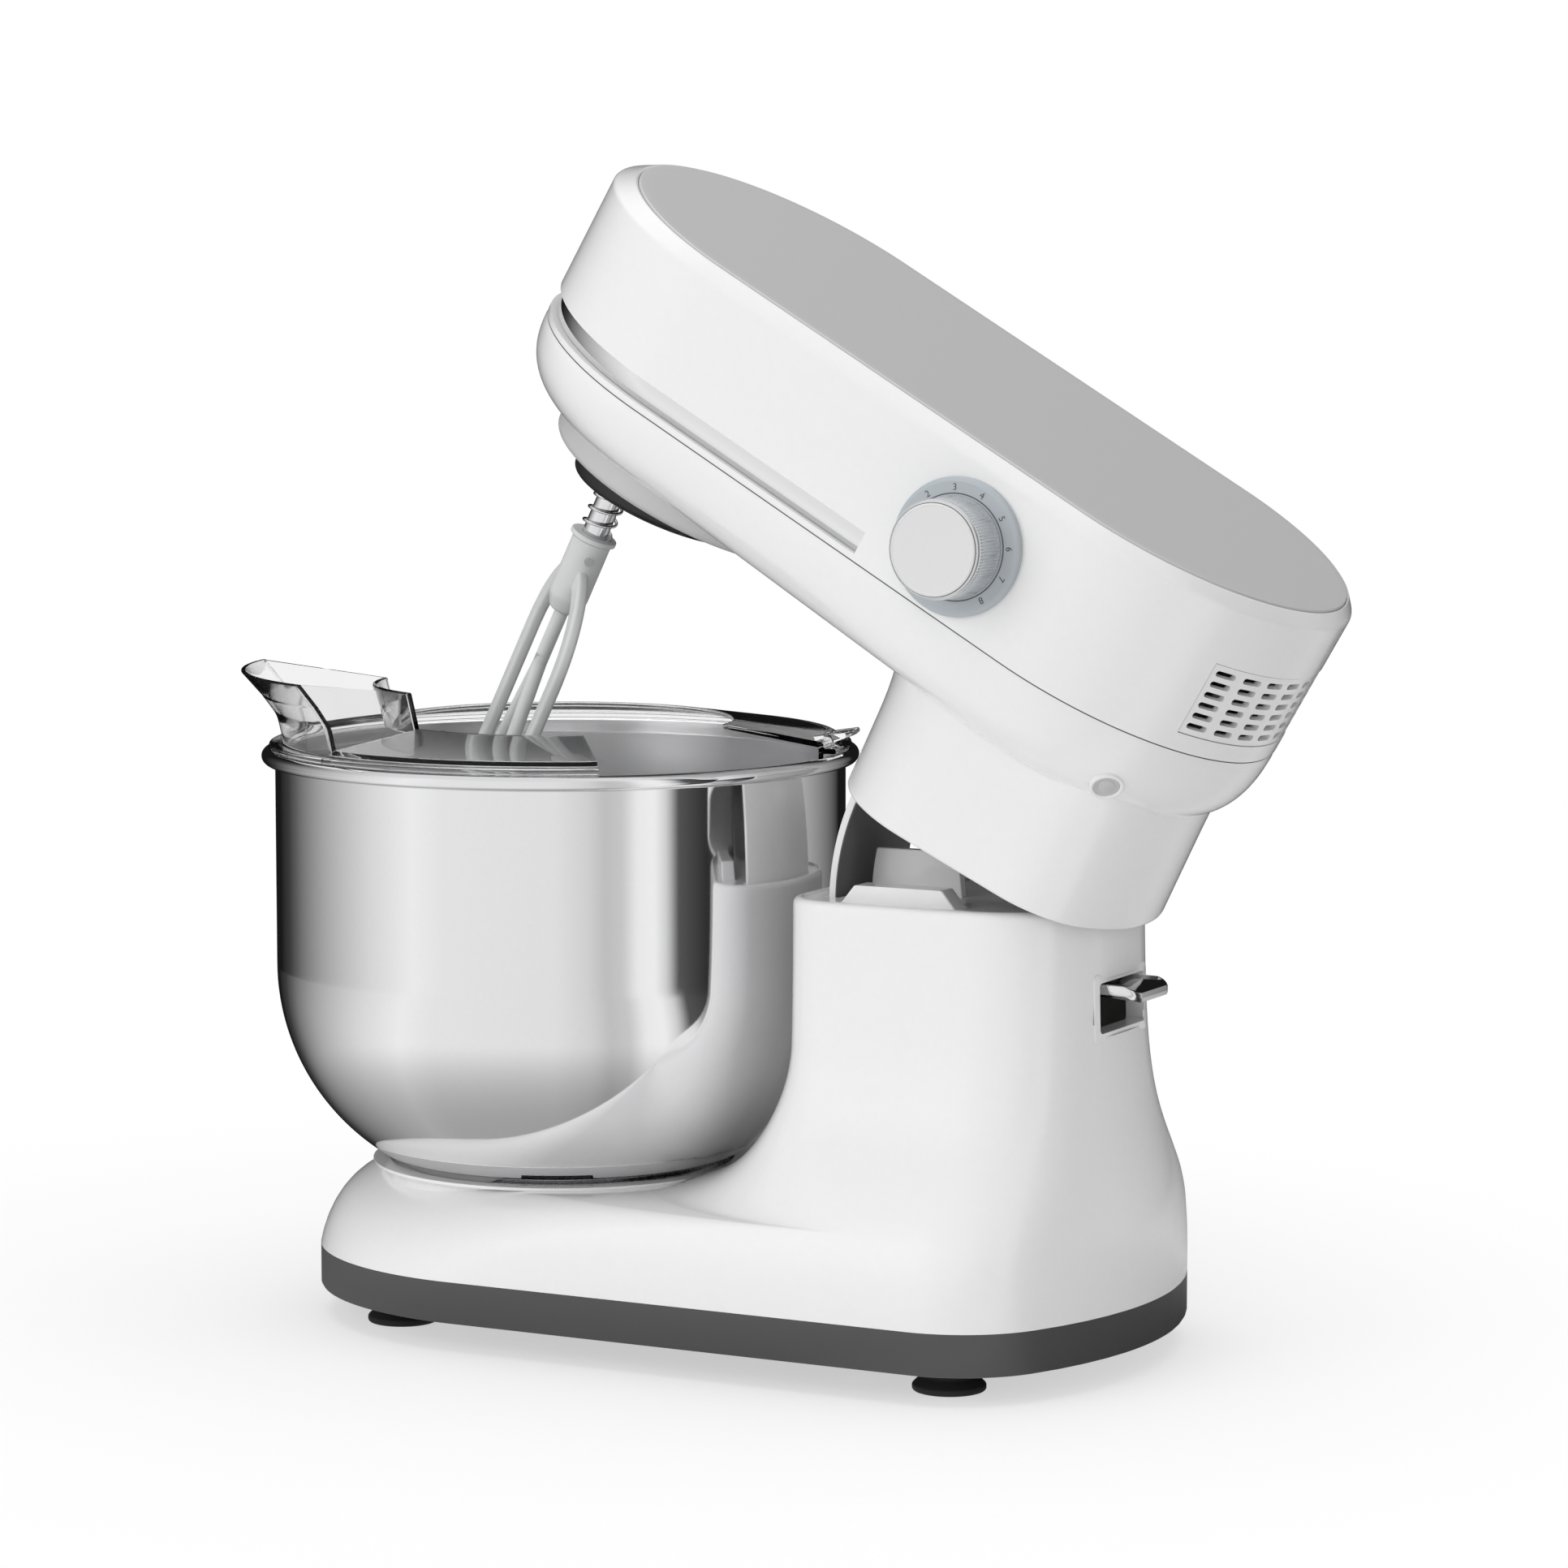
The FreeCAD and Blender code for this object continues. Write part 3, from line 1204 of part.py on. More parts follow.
# Idler with its pulley, motor with its pulley, and the belt between them
node(cylinder("idler_shaft", "idler_shaft_radius", shaft_top + " - plate_bottom", idler_x, "0", "plate_bottom", "Z",
              OPEN), "idler_shaft")


def pulley(name, radius, bore, x):
    flange = "(%s + pulley_flange)" % radius
    lip = "((pulley_height - belt_width) / 2 - fit_gap)"
    wheel = revolved(name + "_wheel", [
        (bore, "0"), (flange, "0"), (flange, lip), (radius, lip), (radius, "pulley_height - " + lip),
        (flange, "pulley_height - " + lip), (flange, "pulley_height"), (bore, "pulley_height"),
    ])
    place(wheel, OPEN, x, "0", pulley_z)
    return node(wheel, name)


pulley("idler_pulley", "idler_pulley_radius", "idler_shaft_radius", idler_x)
pulley("motor_pulley", "motor_pulley_radius", "motor_shaft_radius", "motor_x")


def belt_loop(grow, height):
    """Straight-sided loop round both pulleys."""
    big = d.idler_pulley_radius + grow
    small = d.motor_pulley_radius + grow
    first = number(idler_x)
    lean = math.acos((big - small) / (d.motor_x - first))

    def rim(x, radius, angle):
        return Vector(x + radius * math.cos(angle), radius * math.sin(angle), 0)

    loop = Part.Wire([
        arc(rim(first, big, lean), rim(first, big, math.pi), rim(first, big, -lean)),
        line(rim(first, big, -lean), rim(d.motor_x, small, -lean)),
        arc(rim(d.motor_x, small, -lean), rim(d.motor_x, small, 0), rim(d.motor_x, small, lean)),
        line(rim(d.motor_x, small, lean), rim(first, big, lean)),
    ])
    return raised(loop, height)


def drive_belt():
    band = belt_loop(d.fit_gap + d.belt_thickness, d.belt_width).cut(belt_loop(d.fit_gap, d.belt_width))
    band.translate(Vector(0, 0, number(pulley_z) + (d.pulley_height - d.belt_width) / 2))
    return band


node(solid("drive_belt", drive_belt()), "drive_belt", OPEN)

# Motor in the neck
stator_low = "(plate_bottom - stator_post - stator_height)"
armature_low = "(%s + stator_post / 2)" % stator_low
brush_low = "(plate_bottom - stator_post - brush_height)"
fan_low = "(%s - stator_post - fan_height)" % stator_low
stator_ring = tube("stator_ring", "stator_radius", "stator_bore", "stator_height", "motor_x", "0", stator_low)
posts = []
for x, y in (("1", "1"), ("1", "-1"), ("-1", "1"), ("-1", "-1")):
    middle = "(stator_radius + stator_bore) / 2 * 0.7071 * "
    posts.append(cylinder("stator_post_%d" % len(posts), "stator_post", "2 * stator_post", "motor_x + " + middle + x,
                          middle + y, "plate_bottom - 2 * stator_post"))
node(fuse("motor_stator", stator_ring, *posts), "motor_stator", OPEN)
holders = []
for side, low, high in (("near", "rest_gap - stator_bore", "-commutator_radius - rest_gap"),
                        ("far", "commutator_radius + rest_gap", "stator_bore - rest_gap")):
    holders.append(box("brush_" + side, ("motor_x - brush_width / 2", "motor_x + brush_width / 2"), (low, high),
                       (brush_low, "plate_bottom - stator_post")))
node(group("brush_holders", *holders), "brush_holders", OPEN)
node(cylinder("motor_shaft", "motor_shaft_radius", pulley_z + " + pulley_height - " + fan_low, "motor_x", "0", fan_low,
              "Z", OPEN), "motor_shaft")
armature = tube("armature_body", "stator_bore - 2 * rest_gap", "motor_shaft_radius",
                "stator_height - brush_height - stator_post", "motor_x", "0", armature_low)
node(armature, "armature", OPEN)
node(tube("commutator", "commutator_radius", "motor_shaft_radius", "brush_height", "motor_x", "0", brush_low),
     "commutator", OPEN)


def fan():
    blades = 9
    hub = 2 * d.motor_shaft_radius
    wheel = Part.makeCylinder(d.fan_radius, d.fan_height / 5).fuse(Part.makeCylinder(hub, d.fan_height))
    vanes = []
    for k in range(blades):
        vane = Part.makeBox(d.fan_radius - hub, d.fan_height / 5, d.fan_height,
                            Vector(hub - d.fan_height / 5, -d.fan_height / 10, 0))
        vane.rotate(Vector(), Vector(0, 0, 1), 360 * k / blades)
        vanes.append(vane)
    wheel = wheel.fuse(vanes).cut(Part.makeCylinder(d.motor_shaft_radius, d.fan_height))
    wheel.translate(Vector(d.motor_x, 0, number(fan_low)))
    return wheel.removeSplitter()


node(solid("fan", fan()), "fan", OPEN)
node(box("control_board", ("motor_x - board_length", "motor_x"),
         ("plate_half_width - 3 * board_thickness", "plate_half_width - 2 * board_thickness"),
         (plate_top, plate_top + " + board_height"), OPEN), "control_board")

# Beater shaft, cross pin and spring
shaft_end = "(beater_hub_top - beater_hub_length + beater_hub_radius)"
pin_z = "(beater_hub_top - beater_hub_radius)"
pin_turn = "vector(-sin(beater_heading); cos(beater_heading); 0); 90"
pin_half = "(beater_hub_radius + pin_overhang)"
pin_x = planet_x + " - %s * cos(beater_heading)" % pin_half
pin_y = "-%s * sin(beater_heading)" % pin_half
shaft_rod = cylinder("shaft_rod", "beater_shaft_radius", "ring_bottom + ring_height - " + shaft_end, planet_x, "0",
                     shaft_end)
shaft_hole = cylinder("shaft_hole", "cross_pin_radius + running_gap", "2 * " + pin_half)
place(shaft_hole, "", pin_x, pin_y, pin_z, pin_turn)
node(cut("beater_shaft", shaft_rod, shaft_hole), "beater_shaft", OPEN)
cross_pin = cylinder("cross_pin", "cross_pin_radius", "2 * " + pin_half)
place(cross_pin, OPEN, pin_x, pin_y, pin_z, pin_turn)
node(cross_pin, "cross_pin")


def beater_spring():
    low = d.beater_hub_top + d.spring_wire / 2 + d.running_gap
    high = d.carrier_bottom - d.spring_wire / 2 - 2 * d.fit_gap
    margin = d.spring_wire / 4
    spring = coil(d.spring_radius, d.spring_wire, d.spring_turns, high - low - 2 * margin)
    spring.translate(Vector(number(planet_x), 0, low + margin))
    return spring


node(solid("beater_spring", beater_spring()), "beater_spring", OPEN)

# Flat beater: a hub, a forked stem and a flat hoop
def hoop_outline(inset):
    """Hoop outline across the width and height: round shoulders, straight sides and a round bottom."""
    half = d.beater_half_width - inset
    low = d.beater_bottom + inset
    top = d.beater_hub_top - d.beater_hub_length / 2 - inset
    shoulder = top - (half - d.beater_hub_radius / 2) * 1.2
    turn = low + half
    lean = math.sqrt(0.5)
    neck = d.beater_hub_radius / 2
    edges = []
    for side in (1, -1):
        elbow = Vector(side * half * 0.83, 0, shoulder + (top - shoulder) * 0.52)
        edges.append((Vector(side * neck, 0, top), elbow, Vector(side * half, 0, shoulder)))
        edges.append((Vector(side * half, 0, shoulder), Vector(side * half, 0, turn)))
        edges.append((Vector(side * half, 0, turn), Vector(side * half * lean, 0, turn - half * lean), Vector(0, 0, low)))
    curves = [arc(*e) if len(e) == 3 else line(*e) for e in edges]
    curves.append(line(edges[0][0], edges[3][0]))
    return Part.Wire(Part.__sortEdges__(curves))


def flat_beater():
    thick = d.beater_thickness
    bar = d.beater_bar
    lift = Vector(0, thick, 0)
    hoop = Part.Face(hoop_outline(0)).extrude(lift).cut(Part.Face(hoop_outline(bar)).extrude(lift))
    hoop.translate(lift * -0.5)
    hub_low = d.beater_hub_top - d.beater_hub_length
    hub = Part.makeCylinder(d.beater_hub_radius, d.beater_hub_length, Vector(0, 0, hub_low))
    rim_height = d.spring_wire * 1.5
    rim = Part.makeCylinder(d.beater_rim_radius, rim_height, Vector(0, 0, d.beater_hub_top - rim_height))
    nose = Part.makeSphere(d.beater_hub_radius, Vector(0, 0, hub_low))
    fork = Vector(0, 0, d.beater_fork)
    stem = Part.makeCylinder(d.beater_stem_radius, hub_low - d.beater_fork, fork)
    parts = [hub, rim, nose, stem, Part.makeSphere(d.beater_stem_radius, fork)]
    for side in (-1, 1):
        foot = Vector(side * d.beater_half_width / 2, 0, d.beater_bottom + bar)
        parts.append(Part.makeCylinder(d.beater_stem_radius, (foot - fork).Length, fork, foot - fork))
    beater = hoop.fuse(parts)
    socket = Part.makeCylinder(d.beater_shaft_radius + d.running_gap, d.beater_hub_length,
                               Vector(0, 0, number(shaft_end) - d.rest_gap))
    beater = beater.cut(socket)
    pin = Part.makeCylinder(d.cross_pin_radius + d.running_gap, 4 * d.beater_hub_radius,
                            Vector(-2 * d.beater_hub_radius, 0, number(pin_z)), Vector(1, 0, 0))
    beater = beater.cut(pin)
    beater.rotate(Vector(), Vector(0, 0, 1), d.beater_heading)
    beater.translate(Vector(number(planet_x), 0, 0))
    return beater


node(solid("flat_beater", flat_beater()), "flat_beater", OPEN)

# Build, test and write
doc.recompute()
for obj in nodes:
    if obj.TypeId == "Part::Feature":
        obj.touch()
doc.recompute()
for obj in doc.Objects:
    if "Invalid" in obj.State or "Error" in obj.State:
        raise RuntimeError("%s failed: %s" % (obj.Label, obj.State))
for obj in nodes:
    if obj.Shape.isNull() or not obj.Shape.isValid():
        raise RuntimeError("%s has no valid shape" % obj.Label)
os.makedirs("parts", exist_ok=True)
for obj in nodes:
    obj.Shape.exportStep("parts/%s.step" % obj.Label)
print("%d pieces" % len(nodes))
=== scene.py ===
import json
from math import asin, atan2, cos, degrees, hypot, pi, radians, sin, sqrt, tan

import bmesh
import bpy
from mathutils import Matrix, Vector


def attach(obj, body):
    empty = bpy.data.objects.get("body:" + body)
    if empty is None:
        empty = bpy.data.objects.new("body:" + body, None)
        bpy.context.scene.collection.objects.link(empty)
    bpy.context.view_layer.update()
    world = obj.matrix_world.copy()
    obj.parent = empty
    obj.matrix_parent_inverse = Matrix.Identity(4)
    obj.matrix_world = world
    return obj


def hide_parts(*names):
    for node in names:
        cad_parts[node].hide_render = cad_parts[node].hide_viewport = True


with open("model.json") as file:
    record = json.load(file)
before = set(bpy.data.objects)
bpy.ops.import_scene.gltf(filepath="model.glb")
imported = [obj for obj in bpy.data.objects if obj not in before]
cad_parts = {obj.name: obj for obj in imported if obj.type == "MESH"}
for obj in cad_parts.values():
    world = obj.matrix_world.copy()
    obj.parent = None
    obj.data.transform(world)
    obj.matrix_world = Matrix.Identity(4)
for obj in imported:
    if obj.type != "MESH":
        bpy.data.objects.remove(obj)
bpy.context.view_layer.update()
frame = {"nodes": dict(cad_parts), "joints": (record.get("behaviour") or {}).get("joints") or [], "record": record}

# Looks of the tilt-head stand mixer. Sizes are in millimetres, as in the part, and become metres in piece().
# +X points to the rear, -Y to the side with the speed knob, +Z up; the origin is under the bowl's axis.

MM = 0.001
joints = {joint["name"]: joint for joint in frame["joints"]}
HINGE = Vector(joints["head_tilt"]["pos_m"]) / MM
OPEN_ANGLE = radians(joints["head_tilt"]["range_deg"][1])
HEAD_Z = 248.0
HEAD_SLOPE = radians(4.44)
BASE = Matrix.Identity(4)
# CLOSED places what is drawn with the head closed, and HEAD what is drawn along the head.
CLOSED = Matrix.Translation(HINGE) @ Matrix.Rotation(OPEN_ANGLE, 4, "Y") @ Matrix.Translation(-HINGE)
HEAD = CLOSED @ Matrix.Translation((0, 0, HEAD_Z)) @ Matrix.Rotation(HEAD_SLOPE, 4, "Y")


def body_of(node):
    """Body that a CAD node belongs to."""
    return [body for body, members in frame["record"]["behaviour"]["bodies"].items() if node in members][0]


# Meshes
def polar(radius, angle, z, x=0.0):
    """Point at a radius and an angle about an upright axis."""
    return Vector((x + radius * cos(angle), radius * sin(angle), z))


class Form:
    """Points in millimetres and faces of one piece; a face's mark is the number of its material."""

    def __init__(self):
        self.points = []
        self.faces = []
        self.marks = []

    def add(self, points, faces, mark=0):
        start = len(self.points)
        self.points += [Vector(p) for p in points]
        self.faces += [[start + i for i in face] for face in faces]
        self.marks += [mark] * len(faces)

    def grid(self, rows, ring=True, loop=False, skip=None, mark=0):
        """Faces between rows of points; ring closes each row, loop joins the last row to the first."""
        wide = len(rows[0])
        faces = []
        for i in range(len(rows) if loop else len(rows) - 1):
            after = (i + 1) % len(rows)
            for k in range(wide if ring else wide - 1):
                if skip and skip(i, k):
                    continue
                side = (k + 1) % wide
                faces.append((i * wide + k, i * wide + side, after * wide + side, after * wide + k))
        self.add([p for row in rows for p in row], faces, mark)
        return self

    def cap(self, row, mark=0):
        self.add(row, [range(len(row))], mark)

    def solid(self, rows, ring=True, mark=0):
        """Grid with its first and last row closed."""
        self.grid(rows, ring, mark=mark)
        self.cap(rows[0], mark)
        self.cap(rows[-1], mark)
        return self

    def block(self, low, high):
        """Plain box between two corners."""
        corners = (low[0], low[1]), (high[0], low[1]), (high[0], high[1]), (low[0], high[1])
        self.solid([[(x, y, z) for x, y in corners] for z in (low[2], high[2])])

    def moved(self, matrix):
        self.points = [matrix @ p for p in self.points]
        return self


def piece(name, form, cad=None, place=BASE, look=None, slot=None, body=None, sharp=35, bevel=0.0):
    """Makes an object and sets it on its body. Body, slot and look come from the CAD node that it stands for,
    where they aren't given."""
    slot = slot or SLOTS[cad]
    look = look or LOOKS[slot]
    body = body or body_of(cad)
    mesh = bpy.data.meshes.new(name)
    mesh.from_pydata([place @ p * MM for p in form.points], [], form.faces)
    for item in look if isinstance(look, list) else [look]:
        mesh.materials.append(item)
    for face, mark in zip(mesh.polygons, form.marks):
        face.material_index = mark
    edit = bmesh.new()
    edit.from_mesh(mesh)
    bmesh.ops.remove_doubles(edit, verts=edit.verts, dist=0.002 * MM)
    bmesh.ops.dissolve_degenerate(edit, edges=edit.edges, dist=0.001 * MM)
    bmesh.ops.recalc_face_normals(edit, faces=edit.faces)
    edit.to_mesh(mesh)
    edit.free()
    mesh.shade_smooth()
    mesh.set_sharp_from_angle(angle=radians(sharp))
    obj = bpy.data.objects.new(name, mesh)
    bpy.context.scene.collection.objects.link(obj)
    if bevel:
        soften(obj, bevel)
    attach(obj, body)
    if cad:
        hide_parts(cad)


def soften(obj, width):
    """Small rounded edges on a plain solid."""
    weld = obj.modifiers.new("weld", "WELD")
    weld.merge_threshold = 0.01 * MM
    rounding = obj.modifiers.new("edges", "BEVEL")
    rounding.width = width * MM
    rounding.segments = 3
    rounding.limit_method = "ANGLE"
    rounding.angle_limit = radians(40)
    rounding.harden_normals = True


def rounded(corners, steps=6, closed=True):
    """Outline of (u, v, radius) corners with each corner rounded."""
    outline = []
    for i, (u, v, radius) in enumerate(corners):
        here = Vector((u, v))
        before = Vector(corners[i - 1][:2]) - here
        after = Vector(corners[(i + 1) % len(corners)][:2]) - here
        end = not closed and i in (0, len(corners) - 1)
        if radius <= 0 or end:
            outline.append(here)
            continue
        half = before.angle(after) / 2
        reach = min(radius / tan(half), 0.49 * before.length, 0.49 * after.length)
        radius = reach * tan(half)
        centre = here + (before.normalized() + after.normalized()).normalized() * radius / sin(half)
        first = here + before.normalized() * reach - centre
        last = here + after.normalized() * reach - centre
        for k in range(steps + 1):
            outline.append(centre + first.lerp(last, k / steps).normalized() * radius)
    return outline


def spread(low, high, count):
    """Even values from low to high, both included."""
    return [low + (high - low) * k / count for k in range(count + 1)]


def turned(outline, start=0.0, end=360.0, segments=160, ring=True, mark=0, form=None):
    """Outline of (radius, height) points turned about the Z axis, with end faces where it is no full turn."""
    form = form or Form()
    full = abs(end - start) >= 360
    count = max(int(segments * abs(end - start) / 360), 4)
    angles = [radians(a) for a in spread(start, end, count)]
    rows = [[polar(p[0], a, p[1]) for p in outline] for a in angles[:count + (not full)]]
    return form.grid(rows, ring, True, mark=mark) if full else form.solid(rows, ring, mark)


def spun(corners, steps=6, segments=160, mark=0, form=None):
    """Rounded outline from axis to axis, turned to a solid."""
    return turned(rounded(corners, steps, closed=False), segments=segments, ring=False, mark=mark, form=form)


def tube(path, radius, sides, form):
    """Round wire along a path, with closed ends."""
    rows = []
    angles = [2 * pi * k / sides for k in range(sides)]
    side = None
    for i, point in enumerate(path):
        way = (path[min(i + 1, len(path) - 1)] - path[max(i - 1, 0)]).normalized()
        guess = side or way.orthogonal()
        side = (guess - way * guess.dot(way)).normalized()
        up = way.cross(side)
        rows.append([point + side * cos(a) * radius + up * sin(a) * radius for a in angles])
    return form.solid(rows)


# Materials
def feed(tree, socket, value):
    """Sets a socket to a value, or links it to another node's output."""
    if isinstance(value, bpy.types.NodeSocket):
        tree.links.new(value, socket)
    else:
        socket.default_value = value


def node(tree, kind, inputs=None, **settings):
    """New node with inputs by name or number."""
    made = tree.nodes.new("ShaderNode" + kind)
    for key, value in settings.items():
        setattr(made, key, value)
    for key, value in (inputs or {}).items():
        feed(tree, made.inputs[key], value)
    return made


def new_material(name):
    """Material with its node tree and its Principled shader."""
    made = bpy.data.materials.new(name)
    made.use_nodes = True
    return made, made.node_tree, made.node_tree.nodes["Principled BSDF"]


TONE_LOW = 0.97
COAT_ROUGHNESS = 0.06
GRAIN_LIFT = 0.1 * MM


def shader(name, colour, roughness, metal=0.0, coat=0.0, grain=900.0, bump=0.01, stretch=(1, 1, 1),
           vary=0.06):
    """Surface with fine grain: noise varies its roughness and tone a little and lifts it."""
    made, tree, surface = new_material(name)
    where = node(tree, "TexCoord").outputs["Object"]
    mapping = node(tree, "Mapping", {"Vector": where, "Scale": stretch})
    noise = node(tree, "TexNoise", {"Vector": mapping.outputs["Vector"], "Scale": grain,
                                    "Detail": 3.0}).outputs["Fac"]
    gloss = node(tree, "MapRange", {"Value": noise, "To Min": max(roughness - vary, 0.02),
                                    "To Max": roughness + vary})
    tone = node(tree, "MixRGB", {"Fac": noise, "Color1": (*[c * TONE_LOW for c in colour], 1),
                                 "Color2": (*colour, 1)})
    lift = node(tree, "Bump", {"Strength": bump, "Distance": GRAIN_LIFT, "Height": noise})
    for key, value in (("Metallic", metal), ("Coat Weight", coat), ("Coat Roughness", COAT_ROUGHNESS),
                       ("Roughness", gloss.outputs["Result"]), ("Base Color", tone.outputs["Color"]),
                       ("Normal", lift.outputs["Normal"])):
        feed(tree, surface.inputs[key], value)
    return made


def clear(name, colour, roughness, refraction):
    """Clear plastic with fine scuffs."""
    made = shader(name, colour, roughness, grain=70, bump=0.0, vary=0.01)
    surface = made.node_tree.nodes["Principled BSDF"]
    surface.inputs["Transmission Weight"].default_value = 1.0
    surface.inputs["IOR"].default_value = refraction
    return made


# Look of every slot
LOOKS = {
    "white_shell": shader("white_gloss", (0.88, 0.88, 0.88), 0.16, coat=0.4, grain=350, bump=0.006),
    "grey_panel": shader("grey_panel", (0.59, 0.59, 0.595), 0.42, metal=0.1, grain=1500, bump=0.03),
    "dark_band": shader("dark_band", (0.075, 0.075, 0.078), 0.45, grain=1200, bump=0.03),
    "rubber_foot": shader("rubber", (0.012, 0.012, 0.013), 0.7, grain=1400, bump=0.08),
    "chrome_trim": shader("chrome", (0.82, 0.82, 0.83), 0.07, metal=1.0, grain=700, bump=0.002, vary=0.03),
    "bowl_steel": shader("steel_mirror", (0.86, 0.86, 0.87), 0.05, metal=1.0, grain=500, bump=0.002,
                         vary=0.02),
    "lid_clear": clear("lid_clear", (0.90, 0.90, 0.90), 0.03, 1.3),
    "beater_coat": shader("beater_coat", (0.74, 0.75, 0.75), 0.40, grain=900, bump=0.05),
    "grey_plastic": shader("grey_plastic", (0.58, 0.58, 0.585), 0.35, grain=900, bump=0.02),
    "black_plastic": shader("black_plastic", (0.012, 0.012, 0.013), 0.42, grain=1100, bump=0.03),
    "dial_blue": shader("dial_face", (0.46, 0.50, 0.53), 0.38, grain=1300, bump=0.02),
    "knob_white": shader("knob_face", (0.74, 0.74, 0.74), 0.30, grain=1600, bump=0.02),
    "knob_metal": shader("knob_side", (0.74, 0.75, 0.76), 0.20, metal=0.7, grain=1000, bump=0.02),
    "steel": shader("steel", (0.62, 0.62, 0.63), 0.28, metal=1.0, grain=900, bump=0.02),
    "aluminium": shader("aluminium", (0.70, 0.70, 0.71), 0.38, metal=1.0, grain=700, bump=0.03),
    "gear_nylon": shader("gear_nylon", (0.78, 0.76, 0.70), 0.45, grain=800, bump=0.02),
    "iron": shader("iron", (0.22, 0.22, 0.23), 0.5, metal=0.8, grain=1000, bump=0.03, stretch=(1, 1, 6)),
    "copper": shader("copper", (0.72, 0.35, 0.18), 0.35, metal=1.0, grain=1200, bump=0.04),
    "belt_rubber": shader("belt_rubber", (0.02, 0.02, 0.02), 0.75, grain=1500, bump=0.08),
    "board_green": shader("board_green", (0.03, 0.16, 0.07), 0.45, grain=1200, bump=0.02),
}
LOOKS["spring_steel"] = LOOKS["steel"]
white, chrome = LOOKS["white_shell"], LOOKS["chrome_trim"]
# Looks beside those of the slots
# Near-black inside the seam between the covers, painted shade in the gap.
seam_painted_shade = shader("seam_painted_shade", (0.10, 0.10, 0.105), 0.6, grain=900)
steel_brushed = shader("steel_brushed", (0.66, 0.66, 0.67), 0.30, metal=1.0, grain=500, bump=0.02,
                       stretch=(0.15, 0.15, 4))
# Near-black for the shroud's inner side, painted shade on its concave side.
shroud_inner_shade = shader("shroud_inner_shade", (0.13, 0.13, 0.135), 0.4, grain=900, bump=0.02)
# Near-black for the printed numbers, and painted shade for the dark lines and rings in the gaps round the knob,
# under the bowl's foot and in the seat.
ink_and_painted_shade = shader("ink_and_painted_shade", (0.10, 0.11, 0.12), 0.6, grain=1300)

# Every CAD node that stays takes the look of its slot.
SLOTS = {part["node"]: part["material_slot"] for part in frame["record"]["subparts"]}
for cad, slot in SLOTS.items():
    frame["nodes"][cad].data.materials.clear()
    frame["nodes"][cad].data.materials.append(LOOKS[slot])


# Base and column
FOOT_HEIGHT = 11.0
TRAY_TOP = FOOT_HEIGHT + 16.2
DOME_HEIGHT = 32.8
DECK_Z = TRAY_TOP + DOME_HEIGHT
DOME_INSET = 34.0
DOME_END = radians(85)
BASE_FRONT, BASE_REAR, BASE_HALF = 95.5, 252.8, 93.2
BASE_NOSE, BASE_CORNER, BASE_TAIL = 99.5, 45.0, 150.0
COLUMN_TOP, COLUMN_FRONT, COLUMN_REAR, COLUMN_HALF = 175.5, 121.0, 239.0, 52.0
COLUMN_NOSE, COLUMN_CORNER, COLUMN_TAIL = 20.0, 40.0, 160.0
FLARE_MIDDLE, FLARE_NOSE = 53.4, 110.0
FILLET_REACH, FILLET_HEIGHT = 69.0, 61.0
NOSE_FLAT = 1.5
SHELL_WALL = 3.0
COLUMN_EDGE = 2.6
SEAT_HOLE, SEAT_RIM = 70.3, 74.3
SLOT_HALF, SLOT_LOW, SLOT_HIGH = 21.6, 127.0, 149.0


def plan(z, front, rear, half, nose, flat, corner, tail):
    """Horizontal section with an oval front and a bowed rear; the slot's width gets its own points there."""
    side = half - corner
    tail_x = rear - tail
    corner_x = tail_x + sqrt((tail - corner) ** 2 - side ** 2)
    lean = atan2(side, corner_x - tail_x)
    edge = tail * sin(lean)
    inner = min(SLOT_HALF, 0.9 * edge)
    near = [(front, -flat * k / 3) for k in range(3)]
    near += [(front + nose * (1 - cos(a)), -flat - (half - flat) * sin(a)) for a in spread(0, pi / 2, 28)]
    near += [(x, -half) for x in spread(front + nose, corner_x, 6)[1:]]
    near += [(corner_x + corner * cos(a), -side + corner * sin(a)) for a in spread(-pi / 2, -lean, 12)[1:]]
    near += [(tail_x + sqrt(tail ** 2 - y ** 2), y)
             for y in spread(-edge, -inner, 4)[1:] + spread(-inner, 0, 6)[1:]]
    return [Vector((x, y, z)) for x, y in near + [(x, -y) for x, y in near[-2:0:-1]]]


def flare(z):
    """Share of the spread from the column out to the base's outline at a height."""
    return 1 / (1 + ((z - TRAY_TOP) / FLARE_MIDDLE) ** 4)


def sides(z, shrink):
    share = flare(z)
    return (COLUMN_REAR + (BASE_REAR - COLUMN_REAR) * share - shrink,
            COLUMN_HALF + (BASE_HALF - COLUMN_HALF) * share - shrink,
            COLUMN_CORNER + (BASE_CORNER - COLUMN_CORNER) * share - shrink,
            COLUMN_TAIL + (BASE_TAIL - COLUMN_TAIL) * share - shrink)


def foot_section(lean, shrink=0.0):
    """Section of the base under the bowl; its rounded edge draws in at the front."""
    z = TRAY_TOP + (DOME_HEIGHT - shrink) * sin(lean) / sin(DOME_END)
    inset = DOME_INSET * (1 - cos(lean)) + shrink
    rear, half, corner, tail = sides(z, shrink)
    narrow = min((BASE_HALF - inset) / half, 1)
    reach = BASE_FRONT - inset
    nose = BASE_NOSE / BASE_FRONT * reach / (1 - sqrt(1 - narrow ** 2))
    return plan(z, -reach, rear, half, nose, NOSE_FLAT, corner, tail)


